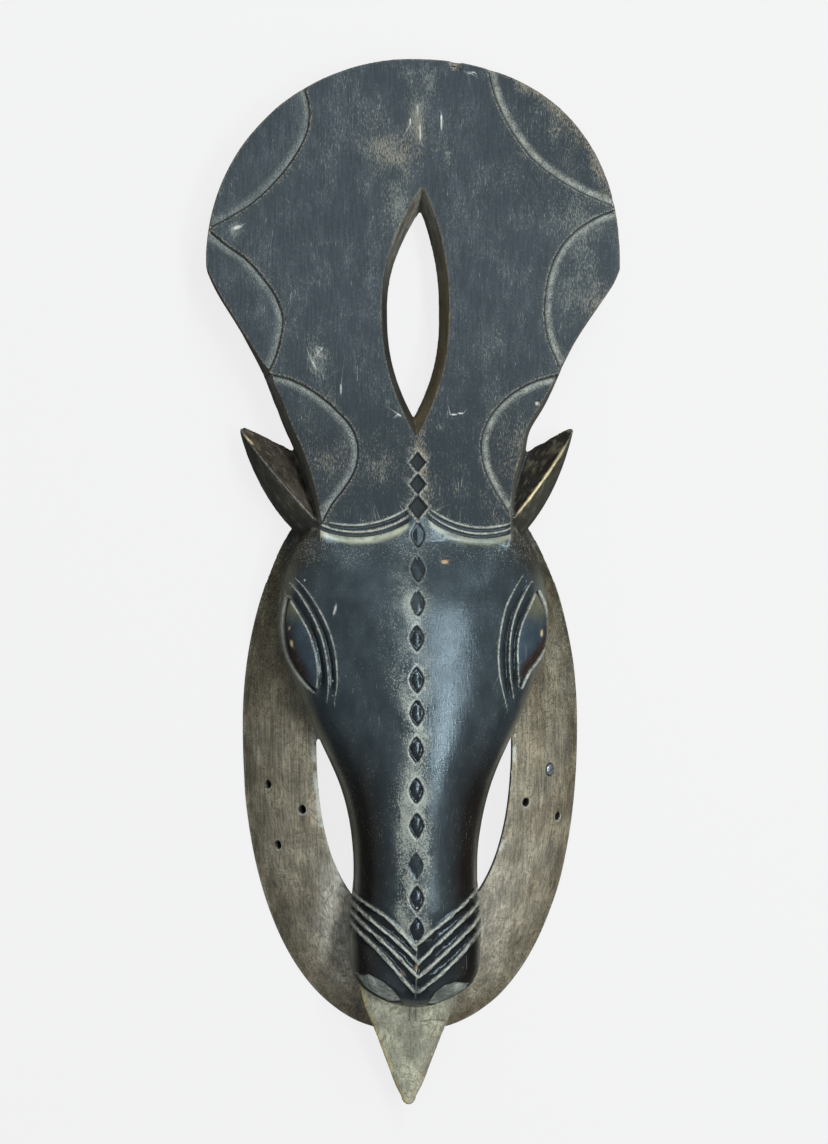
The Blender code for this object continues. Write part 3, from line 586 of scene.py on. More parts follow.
lozenge, pit = np.zeros(len(points)), np.zeros(len(points))
for centre_x, centre_y, crispness in CHAIN:
    here = round_about(centre_x, centre_y, 40)
    across, along = np.abs(x[here] - centre_x) / 4.4, np.abs(y[here] - centre_y) / 7.7
    frame_share = (across ** 1.45 + along ** 1.45) ** (1 / 1.45)
    dome = np.clip(1 - (across / 0.80) ** 2, 0, 1) * np.clip(1 - (along / 0.90) ** 2, 0, 1)
    cut(here, crispness * (2.0 * ramp(frame_share, 1.0, 0.84) - 1.5 * dome))
    mark(lozenge, here, min(1, 1.3 * crispness) * ramp(frame_share, 1.03, 0.90))
    # painted shade: the sunk frame round each boss is darkened
    mark(dark_and_shade, here, crispness * ramp(frame_share, 1.02, 0.90) * ramp(dome, 0.40, 0.10))
    mark(worn_and_glint, here, 0.55 * crispness * ramp(np.abs(frame_share - 1.14), 0.16, 0.05))
for centre_x, centre_y, size in PITS:
    here = round_about(centre_x, centre_y, 30)
    across, along = np.abs(x[here] - centre_x) / (4.4 * size), np.abs(y[here] - centre_y) / (5.6 * size)
    cut(here, 1.8 * ramp(across + along, 1.05, 0.75))
    mark(pit, here, ramp(across + along, 1.05, 0.85))
    mark(dark_and_shade, here, 0.6 * ramp(across + along, 1.05, 0.9))
    mark(worn_and_glint, here, 0.5 * ramp(np.abs(across + along - 1.2), 0.2, 0.05))

# Muzzle stripes: three grooves on each side between four rough ridges, that meet in a seam on
# the middle line above the nose.
SEAM_X = -1.2
STRIPES = (
    (((-33.1, -185.5), (-17.2, -195.2), (-1.3, -212.4)), ((-35.2, -190.4), (-14.6, -206.3), (-1.3, -219.1)),
     ((-35.7, -196.3), (-17.1, -211.8), (-1.8, -227.6)), ((-36.9, -201.7), (-20.6, -216.7),
       (-2.2, -238.4))),
    (((33.5, -182.4), (13.4, -197.7), (-0.7, -208.8)), ((37.5, -187.9), (18.5, -202.9), (-0.2, -220.8)),
     ((36.8, -197.6), (20, -211.6), (0.2, -229.0)), ((38.4, -204.7), (22.1, -220), (0.6, -238.6))),
)
ridges = np.zeros(len(points))
for side, lines in zip((-1, 1), STRIPES):
    curves = [smooth_line([2 * np.array(line[0]) - line[1], *line])[3:] for line in lines]
    here = near(np.vstack(curves), 7)
    on_head = (np.abs(x[here]) < head_size(y[here])[0] + 0.4) & (z[here] > 44)
    here = here[((x[here] - SEAM_X) * side > -0.4) & on_head]
    off = [beside(curve, x[here], y[here])[0] * side for curve in curves]
    wobble = 0.6 * rough[here]
    fade = ramp((x[here] - SEAM_X) * side, 0, 1.4)
    for above, below in zip([off[0] + 8, *off], [*off, off[-1] - 8]):
        between = (above > 0) & (below < 0)
        nearest = np.minimum(above, -below)
        groove = np.where(between, ramp(nearest + wobble, 0.8, 1.7), 0)
        deep = 2.3
        if below is off[0]:
            groove, deep = np.where(between, ramp(-below + wobble, 0.8, 1.7) * ramp(-below, 6, 1.5), 0), 0.9
        if above is off[-1]:
            groove, deep = np.where(between, ramp(above + wobble, 0.8, 1.7) * ramp(above, 7, 1.5), 0), 1.2
        cut(here, deep * groove * fade)
        mark(dark_and_shade, here, groove * fade * min(1, deep - 0.4))
    for value in off:
        mark(worn_and_glint, here, ramp(np.abs(value) + wobble, 1.35, 0.5) * (0.74 + 0.6 * rough[here]).clip(0.2, 1))
        mark(ridges, here, ramp(np.abs(value) + wobble, 1.6, 0.7))

# Nostrils: two leaf-shaped flats cut into the end of the nose.
NOSTRILS = (
    ((-35.4, -231), (-28.7, -228.2), (-20.3, -231.9), (-14, -237.4), (-8.8, -245.6), (-16, -247.2),
     (-23.2, -243.2), (-31, -238), (-35.4, -231)),
    ((6.5, -247.9), (10.2, -239.2), (15.6, -234.5), (22.5, -232.8), (32.2, -235.6), (29.4, -243.4),
     (21.9, -247.3), (15.4, -250), (6.5, -247.9)),
)
nostril = np.zeros(len(points))
for stations in NOSTRILS:
    line = np.array(stations)
    here = near(line, 4)
    inside = -beside(line, x[here], y[here])[0]
    cut(here, 1.2 * ramp(inside, -0.4, 1.2))
    mark(nostril, here, ramp(inside, 0.1, 0.9))
    mark(dark_and_shade, here, 0.8 * ramp(np.abs(inside + 0.5), 0.9, 0.2))

# Cracks in the chin: a short pair along the grain and one across it on the right.
CRACKS = (
    ((-2.5, -254.0), (-2.6, -262.0)), ((1.1, -254.0), (1.0, -262.5)),
    ((3.8, -262.9), (11.0, -262.2), (18.5, -262.8)),
)
for stations in CRACKS:
    here = near(np.array(stations), 2)
    off = np.abs(beside(smooth_line(stations), x[here], y[here])[0])
    cut(here, 0.6 * ramp(off, 0.9, 0.2))
    mark(dark_and_shade, here, 0.55 * ramp(off, 0.9, 0.2))

# Surface of the block: slow unevenness of hand carving, then the nicks and larger bites that
# handling has broken from its sharp edges.
lumps = grain_noise(26, 1) * 0.28 + grain_noise(9, 2, (1, 2.5, 1)) * 0.08
points -= normals * (depth + lumps * (facing > -0.5))[:, None]
block.vertices.foreach_set("co", (points * 0.001).ravel())
block.update()
carved_normals = mesh_points(block)[1]
soft = np.stack([spread(points[:, axis], 10) for axis in range(3)], -1)
bend = ((soft - points) * carved_normals).sum(1)
hollow_edge, sharp_edge = ramp(bend, 0.10, 0.5), ramp(-bend, 0.10, 0.55)
nick = ramp(grain_noise(4.5, 31) + 0.5 * grain_noise(11, 32), 0.45, 1.1) * (z > 4)
bites = sharp_edge * nick * 1.1
BITES = (
    # x, y, z, radius, depth: the flake at the top, the right corner, the left ear's tip, a chip
    (25.5, 311.5, 27, 4.5, 2.6), (120.6, 230.6, 34, 3.2, 1.0), (-104, 92.5, 19, 3, 1.0),
    (73.5, 107, 44, 2.2, 0.9),
)
for centre_x, centre_y, centre_z, radius, amount in BITES:
    away = np.sqrt((x - centre_x) ** 2 + (y - centre_y) ** 2 + (z - centre_z) ** 2)
    bites = np.maximum(bites, amount * ramp(away, radius, 0.4 * radius))
points -= carved_normals * bites[:, None]
low, high = (np.array(corner) * 1000 for corner in cad_box)
points = np.clip(points, low + 0.03, high - 0.03)
block.vertices.foreach_set("co", (points * 0.001).ravel())
block.update()

# Finish of the wood by place: the part's own colour for each zone, with painted light and shade
# laid into some of them, and how much it is polished, dusted and rubbed. The zones are soft-edged
# shares of the surface.
head_z = head_front(x, y)
band_share, band_z = band_front(x, y)
half, ridge, widest = head_size(y)
chin_half = through(CHIN, y, 1)
flank = np.where(x > 0, crest_half(y, 1), crest_half(y, -1))


def zone(inside, times):
    """Soft-edged share of the surface for a true-or-false test."""
    return spread(inside.astype(float), times)


plate = zone((y > 20) & ~past_lines & (np.abs(z - crest_front(y)) < 1.4) & (facing > 0.5), 4)
wall = zone((y > 24) & (np.abs(x) < flank + 5) & (facing < 0.5) & (facing > -0.5), 3)
lens_wall = wall * (np.abs(x - 1) < 26) * (y > 84) * (y < 241)
ear_zone = zone((y > 20) & (y < 96) & (np.abs(x) > flank + 3.5 * (y < 110)) & (np.abs(x) > half * (y < 44))
                & (facing > -0.5), 2)
on_band = zone((np.abs(z - band_z) < 1.6) & (facing > 0) & (band_share > -0.1) & (band_share < 1.08)
               & ((np.abs(x) > half + 0.5) | (y < -240)), 5)
on_chin = zone((y < -228) & (np.abs(x - CHIN_X) < chin_half + 1) & (z < 42) & (z > band_z + 1.5)
               & ((z < head_z - 6) | (y < -249)), 2)
rear = zone((facing < -0.3) & (z < 45), 4)
inner_wall = zone((band_share > 0.85) & (band_share < 1.3) & (facing < 0.35) & (z < 45) & (y < 0), 3)

share_side = np.abs(x) / np.maximum(half, 1)
muzzle = ramp(y, -70, -130)
patina_and_painted_light = np.empty((len(points), 4))
patina_and_painted_light[:, 3] = 1


def lay(share, colour):
    """Lay a colour over the zone colours, painted light and shade included, by a share from 0 to 1."""
    patina_and_painted_light[:, :3] += share[:, None] * (np.asarray(colour) - patina_and_painted_light[:, :3])


patina_and_painted_light[:, :3] = (0.027, 0.036, 0.041)
lay(muzzle * ramp(share_side, 0.25, 0.70), (0.009, 0.006, 0.004))
# painted reflection: a pale rim along the head's sides, painted lighter on the left, where the lamps leave it
# in shade
lay(ramp(share_side, 0.88, 0.99) * (x > 0), (0.130, 0.132, 0.105))
lay(ramp(share_side, 0.88, 0.99) * (x < 0), (0.190, 0.190, 0.145))
lay(ramp(y, -12, 22) * ramp(share_side + 0.1 * rough, 0.66, 0.92) * 0.85, (0.026, 0.019, 0.012))
paler = (1 - 0.52 * ramp(y, 170, 60) - 0.36 * ramp(x, 20, 80) * ramp(y, 200, 250))[:, None]
plate_tone = np.array((0.030, 0.036, 0.041)) * paler
lay(plate, plate_tone)
low_band = ramp(y, 20, -170)[:, None]
band_tone = (1 - low_band) * (0.074, 0.056, 0.021) + low_band * (0.255, 0.222, 0.158)
band_tone = band_tone * (1 - 0.14 * ramp(x, -60, 60) * (1 - low_band[:, 0]))[:, None]
brown_rim = ramp(band_share + 0.06 * grain_noise(12, 41, (1, 3, 1)), 0.30, 0.0)[:, None]
lay(on_band, band_tone * (1 - 0.35 * brown_rim * (1.0, 1.1, 1.35)) * 1.06)
blotch = grain_noise(15, 42, (1, 1.6, 1)) + 0.7 * grain_noise(6, 43, (1, 1.8, 1))
lay(on_band * ramp(blotch, 0.15, 0.9) * 0.40, (0.125, 0.085, 0.042))
lay(on_band * ramp(-blotch, 0.30, 1.0) * 0.45 * low_band[:, 0], (0.36, 0.35, 0.29))
lay(on_band * ramp(grain_noise(3.0, 44, (1, 3, 1)), 0.35, 0.8) * 0.35, (0.30, 0.24, 0.13))
# painted light: the band beside the snout is lightened to fill the shadow that the muzzle casts on it, more
# on the left
painted_fill_by_snout = ramp(np.hypot((np.abs(x) - 47) / 17, (y + 196) / 42) + 0.25 * blotch, 1.15, 0.3)
lay(on_band * painted_fill_by_snout * np.where(x < 0, 0.75, 0.35), (0.42, 0.40, 0.345))
lay(wall, (0.120, 0.110, 0.090))
# painted light and shade: the lens's right wall is painted pale as if lit, its left wall dark as if shaded
lens_middle = 0.8 + 4.7 * np.maximum(0, (y - 162) / 75) ** 2
lay(lens_wall * (x < lens_middle), (0.035, 0.030, 0.022))
lay(lens_wall * (x > lens_middle), (0.205, 0.160, 0.090))
lay(lens_wall * ramp(y, 165, 225), (0.27, 0.26, 0.215))
lay(lens_wall * ramp(grain_noise(5, 45, (1, 3, 1)), 0.0, 0.7) * 0.6, (0.05, 0.038, 0.022))
lay(ear_zone * (x < 0), (0.042, 0.034, 0.026))
# painted shade and light: the right ear is laid dark so its scooped inner side reads as shade, and the
# outward-facing facets of both ears are painted lighter as lit
lay(ear_zone * (x > 0), (0.018, 0.014, 0.011))
lay(ear_zone * ramp(carved_normals[:, 0] * np.sign(x), 0.05, 0.35), (0.048, 0.045, 0.033))
lay(ear_zone * ramp(grain_noise(2.2, 46, (1, 3, 1)), 0.1, 0.8) * 0.5, (0.19, 0.165, 0.11))
lay(on_chin, (0.345, 0.342, 0.252))
lay(on_chin * ramp(y, -272, -252) * 0.6, (0.46, 0.46, 0.35))
lay(on_chin * ramp(blotch, 0.1, 0.9) * 0.45, (0.20, 0.19, 0.13))
# painted highlight: a golden band along the chin's rounded left edge
lay(on_chin * ramp(np.abs(x - CHIN_X + chin_half) + 1.6 * rough, 3.2, 0.8) * 0.85, (0.52, 0.42, 0.19))
lay(on_chin * ramp(x - CHIN_X - chin_half, -7, -1) * 0.5, (0.22, 0.18, 0.13))
lay(nostril, (0.19, 0.21, 0.18))
lay(nostril * ramp(rough, -0.35, 0.45) * 0.9, (0.44, 0.47, 0.42))
lay(nostril * ramp(grain_noise(1.6, 47), 0.2, 0.7) * 0.6, (0.08, 0.09, 0.08))
lay(cove * (0.80 + 0.5 * rough).clip(0.3, 1), (0.38, 0.39, 0.28))
lay(ball, (0.034, 0.050, 0.064))
lay(ball * ramp(y + 3 * rough, -26, -12), (0.120, 0.122, 0.080))
lay(rust, (0.028, 0.013, 0.007))
lay(lozenge, (0.009, 0.011, 0.014))
lay(pit, (0.014, 0.012, 0.009))
lay(rear, (0.075, 0.053, 0.033))
lay(inner_wall, (0.33, 0.31, 0.25))

RAW, GOLD, PALE = (0.52, 0.35, 0.19), (0.60, 0.50, 0.28), (0.58, 0.59, 0.54)
SPOTS = (
    # x, y, half width, half length, lean in degrees, colour
    (16.9, 12.4, 2.6, 1.2, 0, RAW), (-9.0, -225.9, 1.3, 2.2, 35, RAW), (-1.5, -223.3, 1.2, 1.8, 0, RAW),
    (-0.8, -228.2, 0.8, 1.5, 0, PALE), (-48.2, -15.7, 0.7, 3.4, -15, PALE),
    (-34.0, -229.9, 2.0, 0.8, -10, PALE),
    (-58.8, -38.5, 1.0, 1.0, 0, PALE), (-57.6, -27.0, 1.2, 0.8, 0, GOLD),
    (-62.2, -29.2, 0.9, 1.4, 0, GOLD), (-73.4, -35.4, 1.0, 2.4, 10, GOLD),
    (74.6, -29.5, 0.9, 2.2, -10, GOLD), (24.5, 312.6, 2.4, 0.6, 0, PALE), (35.4, 306.9, 3.2, 0.4, 15, PALE),
    (73.0, 107.0, 1.1, 1.1, 0, PALE), (-105.8, 211.6, 3.4, 1.1, 20, PALE),
    (-98.5, 85.5, 0.9, 5.5, 42, GOLD),
    (25.9, 100.6, 5.5, 0.35, 8, PALE), (-9.5, 100.0, 2.2, 0.5, -30, PALE), (2.3, 284.0, 0.4, 5.0, 0, PALE),
    (3.9, 271.0, 0.5, 6.0, 2, PALE), (-2.0, 276.0, 0.3, 3.0, -4, PALE), (17.0, 277.0, 0.35, 6.5, 0, PALE),
    (-60.5, 131.0, 0.4, 6.0, 25, PALE), (-57.0, 137.0, 0.4, 5.0, -40, PALE),
    (-44.0, 115.0, 0.35, 3.0, 0, PALE),
    (16.0, -271.3, 0.9, 0.9, 0, GOLD), (11.3, -283.7, 0.8, 1.0, 0, GOLD), (-74.6, -26.5, 0.8, 1.2, 0, GOLD),
)
for spot_x, spot_y, half_width, half_length, lean, colour in SPOTS:
    cosine, sine = np.cos(np.radians(lean)), np.sin(np.radians(lean))
    u = ((x - spot_x) * cosine + (y - spot_y) * sine) / half_width
    v = ((y - spot_y) * cosine - (x - spot_x) * sine) / half_length
    lay(0.85 * ramp(np.hypot(u, v) + 0.3 * rough, 1.15, 0.5) * (facing > 0.1), colour)
golden = beside(ear_ridge, x, y)[0]
lay(ear_zone * (x > 0) * ramp(np.abs(golden) + 0.4 * rough, 1.1, 0.4) * ramp(np.abs(y - 60), 28, 12), GOLD)

POLISH = (
    (on_band, 0.10), (ear_zone, 0.50), (on_chin, 0.05), (nostril, 0.3), (ball, 0.95), (rear, 0.0),
    (wall, 0.2), (inner_wall, 0.0), (ridges, 0.45), (lozenge, 1.0), (pit, 0.1),
)
gloss = 1.0 - 0.92 * plate
for share, value in POLISH:
    gloss += share * (value - gloss)

# dust lies along the middle strip, in clouds on the plate and towards its rim, and all over the band
patches = grain_noise(13, 51, (1, 2, 1)) + 0.6 * grain_noise(5, 52, (1, 2, 1))
everywhere = slice(None)
strip = ramp(np.abs(x + 3.0 + 2.5 * rough), 14, 5) * ramp(y, 24, -10)
strip = strip * (facing > 0.3) * (1 - on_chin) * (y > -208)
strip *= (0.55 + 0.50 * muzzle + 0.75 * patches).clip(0.05, 1.15) * (1 - lozenge)
mark(dust, everywhere, strip * (0.75 + 0.35 * muzzle))
rubbed_left = ramp(np.abs(x + 16), 15, 3) * ramp(y, 10, -20) * ramp(y, -165, -110)
rubbed_left = rubbed_left * (facing > 0.3) * (1 - lozenge)
mark(dust, everywhere, 0.42 * rubbed_left * (0.55 + 0.8 * patches).clip(0, 1.2))
mark(dust, everywhere, 0.40 * ramp(y, 4, 16) * ramp(y, 46, 24) * (1 - plate) * (facing > 0.3))
CLOUDS = (
    (-14, 257, 18, 17, 0.75), (2, 274, 8, 32, 0.75), (20.4, 255.5, 3, 10, 0.8), (-11, 228, 13, 22, 0.9),
    (8, 304, 20, 9, 0.8), (99, 219, 24, 26, 0.50), (102, 178, 24, 36, 0.60), (-107, 211, 5, 4, 0.8),
    (-27, 187, 6, 12, 0.65), (-58, 134, 9, 14, 0.8), (-50, 79, 24, 34, 0.34), (60, 79, 18, 34, 0.58),
    (2, 56, 14, 24, 0.55), (-24, 80, 12, 30, 0.35), (40, 140, 30, 60, 0.25), (-100, 165, 18, 30, 0.32),
    (-30, 275, 22, 28, 0.35), (95, 262, 30, 26, 0.26), (3, 78, 7, 30, 0.95), (-18, 76, 9, 16, 0.7),
)
for centre_x, centre_y, size_x, size_y, amount in CLOUDS:
    away = np.hypot((x - centre_x) / size_x, (y - centre_y) / size_y)
    mark(dust, everywhere, plate * amount * ramp(away, 1.25, 0.15))
rim = flank - np.abs(x)
mark(dust, everywhere, plate * 0.75 * ramp(rim, 12, 3) * ramp(x, 30, 70) * ramp(y, 215, 235))
mark(dust, everywhere, 0.15 * plate)
mark(dust, everywhere, on_band * 0.30)
mark(worn_and_glint, everywhere, on_band * ramp(band_share, 0.90, 0.97) * ramp(rough + patches, -0.3, 0.7))
dust *= (1 - lozenge) * (1 - 0.8 * ball) * (1 - pit)
# the lashing holes are painted black inside as shade, with a pale lip on the lower right
for hole in HOLES:
    centre, axis = place_on_band(*hole)
    height = (points - centre) @ axis
    away = np.linalg.norm(points - centre - height[:, None] * axis, axis=1)
    mark(dark_and_shade, everywhere, ramp(away, 3.0, 2.6) * ramp(height, 0.3, -0.4) * (height > -20))
    lip = ramp(x - hole[0] - (y - hole[1]), -1.0, 2.5)
    mark(worn_and_glint, everywhere, 0.8 * ramp(np.abs(away - 3.0), 0.8, 0.2) * lip * (np.abs(height) < 1.5))
centre = place_on_band(*SCREW_PLACE)[0]
mark(dark_and_shade, everywhere, 0.9 * ramp(np.linalg.norm(points - centre, axis=1), 4.6, 3.9))
beige = ramp(rim, 14, 4) * (x > 30) * (y > 150) + 0.6 * ramp(np.hypot(x + 8, y - 262), 34, 12)
beige += 0.8 * ramp(y, 115, 80) * (1 - 0.7 * ramp(np.abs(x), 12, 20) * ramp(np.abs(x), 45, 35))
beige = plate * np.clip(beige, 0, 1)
flecked = ramp(np.hypot((x + 62) / 34, (y - 203) / 28), 1.2, 0.6) * plate

# painted shade: concave creases all over the block are darkened
corners = 0.8 * hollow_edge * (1 - rear) * (1 - 0.6 * plate)
fields = {
    "worn_and_glint": worn_and_glint * (1 - pit), "dark_and_shade": np.maximum(dark_and_shade, corners), "dust": dust, "beige": beige,
    "chalk": strip, "flecked": flecked,
    "edge": np.maximum(sharp_edge * (1 - rear), ramp(bites, 0.25, 0.7)), "gloss": gloss,
    "band": on_band, "plate": plate, "chin": on_chin,
}
detail = np.zeros(len(points))
a, b = edges.T
for values in (*fields.values(), *patina_and_painted_light[:, :3].T * 6, depth * 0.4):
    change = np.abs(values[a] - values[b])
    np.maximum.at(detail, a, change)
    np.maximum.at(detail, b, change)
for name, values in fields.items():
    block.attributes.new(name, "FLOAT", "POINT").data.foreach_set("value", values.astype(np.float32))
tones = block.attributes.new("patina_and_painted_light", "FLOAT_COLOR", "POINT").data
tones.foreach_set("color", patina_and_painted_light.astype(np.float32).ravel())

# Thinning: the even mesh is kept whole where the carving or the colour changes, and opened
# elsewhere, so that the piece stays under 200,000 triangles.
MOST_TRIANGLES = 194000
dense = bpy.data.objects.new("dense", block)
bpy.context.scene.collection.objects.link(dense)
loose = dense.vertex_groups.new(name="loose")
keep = spread((detail > 0.20).astype(float), 1) > 0.3
loose.add(np.flatnonzero(~keep).tolist(), 1.0, "REPLACE")
thin = dense.modifiers.new("thin", "DECIMATE")
thin.ratio = min(1.0, MOST_TRIANGLES / (2 * len(block.polygons)))
thin.vertex_group = "loose"
thin.vertex_group_factor = 0.5
mask_mesh = bpy.data.meshes.new_from_object(dense.evaluated_get(bpy.context.evaluated_depsgraph_get()))
bpy.data.objects.remove(dense, do_unlink=True)
mask_mesh.shade_smooth()
mask = bpy.data.objects.new("carved_mask", mask_mesh)
bpy.context.scene.collection.objects.link(mask)


# Wood finish: dark stain waxed over close-grained wood, with dust in the grain, rubbed light
# wood on lips and edges that is painted paler still as their highlight, black in the cuts that is
# partly dark patina and partly painted shade, and fine scratches and specks.
def put(tree, socket, value):
    """Set an input socket to a value, or link another socket to it."""
    if isinstance(value, bpy.types.NodeSocket):
        tree.links.new(value, socket)
    else:
        socket.default_value = value


def add(tree, kind, inputs=(), **settings):
    """New node with its settings, and its inputs by name."""
    made = tree.nodes.new(kind)
    for name, value in settings.items():
        setattr(made, name, value)
    for name, value in dict(inputs).items():
        put(tree, made.inputs[name], value)
    return made


def sums(tree, operation, *values):
    """Result of a Math node."""
    made = add(tree, "ShaderNodeMath", operation=operation)
    for socket, value in zip(made.inputs, values):
        put(tree, socket, value)
    return made.outputs[0]


def product(tree, *values):
    """Product of several values."""
    total = values[0]
    for value in values[1:]:
        total = sums(tree, "MULTIPLY", total, value)
    return total


def step(tree, value, start, end, low=0.0, high=1.0):
    """Smooth step of a value between two limits, from low to high."""
    made = add(tree, "ShaderNodeMapRange", {
        "Value": value, "From Min": start, "From Max": end, "To Min": low, "To Max": high,
    }, interpolation_type="SMOOTHSTEP")
    return made.outputs[0]


def tint(tree, share, under, over, blend="MIX"):
    """Colour laid over another by a share."""
    made = add(tree, "ShaderNodeMix", data_type="RGBA", blend_type=blend)
    for index, value in ((0, share), (6, under), (7, over)):
        put(tree, made.inputs[index], (*value, 1) if isinstance(value, tuple) and len(value) == 3 else value)
    return made.outputs[2]


def noise(tree, place, scale, stretch, detail=3.0, rough=0.6, turn=0.0):
    """Noise value at places turned about Z and stretched by factors along X, Y and Z."""
    mapped = add(tree, "ShaderNodeMapping", {"Vector": place, "Rotation": (0, 0, turn), "Scale": stretch})
    made = add(tree, "ShaderNodeTexNoise", {
        "Vector": mapped.outputs[0], "Scale": scale, "Detail": detail, "Roughness": rough})
    return made.outputs["Fac"]


# grain of dirt and wear that wood and metal share: fine grit, slow clouds and crossing scratches
wear = bpy.data.node_groups.new("handling_wear", "ShaderNodeTree")
wear.interface.new_socket("Place", in_out="INPUT", socket_type="NodeSocketVector")
wear.interface.new_socket("Length", in_out="INPUT", socket_type="NodeSocketFloat")
for output in ("Grit", "Clouds", "Scratches"):
    wear.interface.new_socket(output, in_out="OUTPUT", socket_type="NodeSocketFloat")
source, result = wear.nodes.new("NodeGroupInput"), wear.nodes.new("NodeGroupOutput")
put(wear, result.inputs["Grit"], noise(wear, source.outputs["Place"], 1450, (1, 0.6, 1), 2.0, 0.65))
put(wear, result.inputs["Clouds"], noise(wear, source.outputs["Place"], 75, (1, 0.6, 1), 6.0, 0.62))
scratches = 0.0
for turn, seen in ((0.12, 0.70), (-0.55, 0.735), (1.2, 0.75)):
    flow = add(wear, "ShaderNodeVectorMath", {"Scale": source.outputs["Length"]}, operation="SCALE")
    put(wear, flow.inputs[0], source.outputs["Place"])
    line = step(wear, noise(wear, flow.outputs[0], 1500, (1, 0.035, 1), 1.0, 0.5, turn), seen, seen + 0.05)
    scratches = sums(wear, "MAXIMUM", scratches, line)
put(wear, result.inputs["Scratches"], scratches)

wood = bpy.data.materials.new("dark_wood")
wood.use_nodes = True
tree = wood.node_tree
shader = tree.nodes["Principled BSDF"]


def own(name):
    """Value of one of the mask's own fields."""
    return add(tree, "ShaderNodeAttribute", attribute_name=name).outputs["Fac"]


place = add(tree, "ShaderNodeTexCoord").outputs["Object"]
marks = tree.nodes.new("ShaderNodeGroup")
marks.node_tree = wear
put(tree, marks.inputs["Place"], place)
marks.inputs["Length"].default_value = 1.0
grit, clouds, scratches = (marks.outputs[name] for name in ("Grit", "Clouds", "Scratches"))
streaks = noise(tree, place, 800, (1, 0.05, 1), 4.0, 0.65)
dashes = noise(tree, place, 2300, (1, 0.20, 1), 2.0, 0.6)
plate_share, gloss_node, dust_node, worn_glint_node = own("plate"), own("gloss"), own("dust"), own("worn_and_glint")
matte = sums(tree, "SUBTRACT", 1.0, gloss_node)

colour = add(tree, "ShaderNodeAttribute", attribute_name="patina_and_painted_light").outputs["Color"]
colour = tint(tree, 1.0, colour, step(tree, clouds, 0.32, 0.68, 0.74, 1.24), "MULTIPLY")
bare = sums(tree, "MAXIMUM", own("band"), own("chin"))
colour = tint(tree, product(tree, bare, 0.5), colour, step(tree, clouds, 0.36, 0.64, 0.62, 1.32), "MULTIPLY")
grained = product(tree, matte, sums(tree, "SUBTRACT", 0.9, product(tree, own("chin"), 0.45)))
colour = tint(tree, grained, colour, step(tree, streaks, 0.34, 0.66, 0.60, 1.42), "MULTIPLY")
colour = tint(tree, sums(tree, "ADD", product(tree, matte, 0.5), 0.1), colour,
              step(tree, grit, 0.32, 0.68, 0.62, 1.35), "MULTIPLY")
# dark curls and stains on the pale wood of the band and the chin
curls = add(tree, "ShaderNodeTexNoise", {
    "Vector": place, "Scale": 75.0, "Detail": 4.0, "Roughness": 0.55, "Distortion": 1.6}).outputs["Fac"]
curl_line = step(tree, sums(tree, "ABSOLUTE", sums(tree, "SUBTRACT", curls, 0.5)), 0.042, 0.006)
curl_line = product(tree, curl_line, step(tree, clouds, 0.42, 0.56))
stain = sums(tree, "MAXIMUM", curl_line, product(tree, step(tree, curls, 0.54, 0.68), 0.55))
colour = tint(tree, product(tree, stain, bare), colour, (0.55, 0.52, 0.47), "MULTIPLY")

# dust: pale flecks, short dashes on the plate and grit elsewhere, closer where the dust is deep
fleck = add(tree, "ShaderNodeMix", {0: 0.0}, data_type="FLOAT")
put(tree, fleck.inputs[0], product(tree, plate_share, 0.75))
put(tree, fleck.inputs[2], grit)
put(tree, fleck.inputs[3], dashes)
cloudy = sums(tree, "ADD", product(tree, matte, 0.16), 0.25)
cloudy = product(tree, sums(tree, "SUBTRACT", clouds, 0.5), cloudy)
level = sums(tree, "ADD", product(tree, dust_node, 0.29), cloudy)
level = sums(tree, "SUBTRACT", level, product(tree, gloss_node, 0.04))
dusty = step(tree, sums(tree, "ADD", fleck.outputs[0], level), 0.60, 0.80)
dust_tone = tint(tree, own("beige"), (0.26, 0.275, 0.240), (0.36, 0.31, 0.22))
dust_tone = tint(tree, own("chalk"), dust_tone, (0.40, 0.42, 0.36))
thinner = sums(tree, "ADD", product(tree, own("chalk"), 0.22), product(tree, plate_share, 0.16))
chalky = product(tree, dusty, sums(tree, "SUBTRACT", 0.72, thinner))
colour = tint(tree, product(tree, own("chalk"), step(tree, clouds, 0.40, 0.60), 0.28), colour, dust_tone)
colour = tint(tree, chalky, colour, dust_tone)
scratch_share = sums(tree, "ADD", product(tree, plate_share, 0.35), 0.2)
scratch_share = product(tree, scratches, step(tree, clouds, 0.40, 0.60), scratch_share)
colour = tint(tree, scratch_share, colour, (0.30, 0.32, 0.30))
edge = product(tree, own("edge"), step(tree, grit, 0.42, 0.62))
colour = tint(tree, product(tree, edge, 0.85), colour, (0.33, 0.305, 0.24))
# lips and edges are painted pale: partly rubbed bare wood, partly painted highlight
rubbed = sums(tree, "ADD", grit, product(tree, worn_glint_node, 0.18))
rubbed = product(tree, worn_glint_node, step(tree, rubbed, 0.44, 0.68, 0.22, 1.0))
colour = tint(tree, product(tree, rubbed, 0.95), colour, (0.50, 0.52, 0.455))
# the cuts are painted near-black: partly dark patina in the hollows, partly painted shade
colour = tint(tree, product(tree, own("dark_and_shade"), 0.92), colour, (0.005, 0.005, 0.005))
speck = add(tree, "ShaderNodeTexVoronoi", {"Vector": place, "Scale": 62.0, "Randomness": 1.0})
drawn = add(tree, "ShaderNodeSeparateColor", {"Color": speck.outputs["Color"]}).outputs[0]
chosen = step(tree, sums(tree, "ADD", drawn, product(tree, own("flecked"), 0.35)), 0.90, 0.92)
dot = step(tree, speck.outputs["Distance"], 0.050, 0.028)
colour = tint(tree, product(tree, dot, chosen, 0.7), colour, (0.5, 0.51, 0.49))
put(tree, shader.inputs["Base Color"], colour)

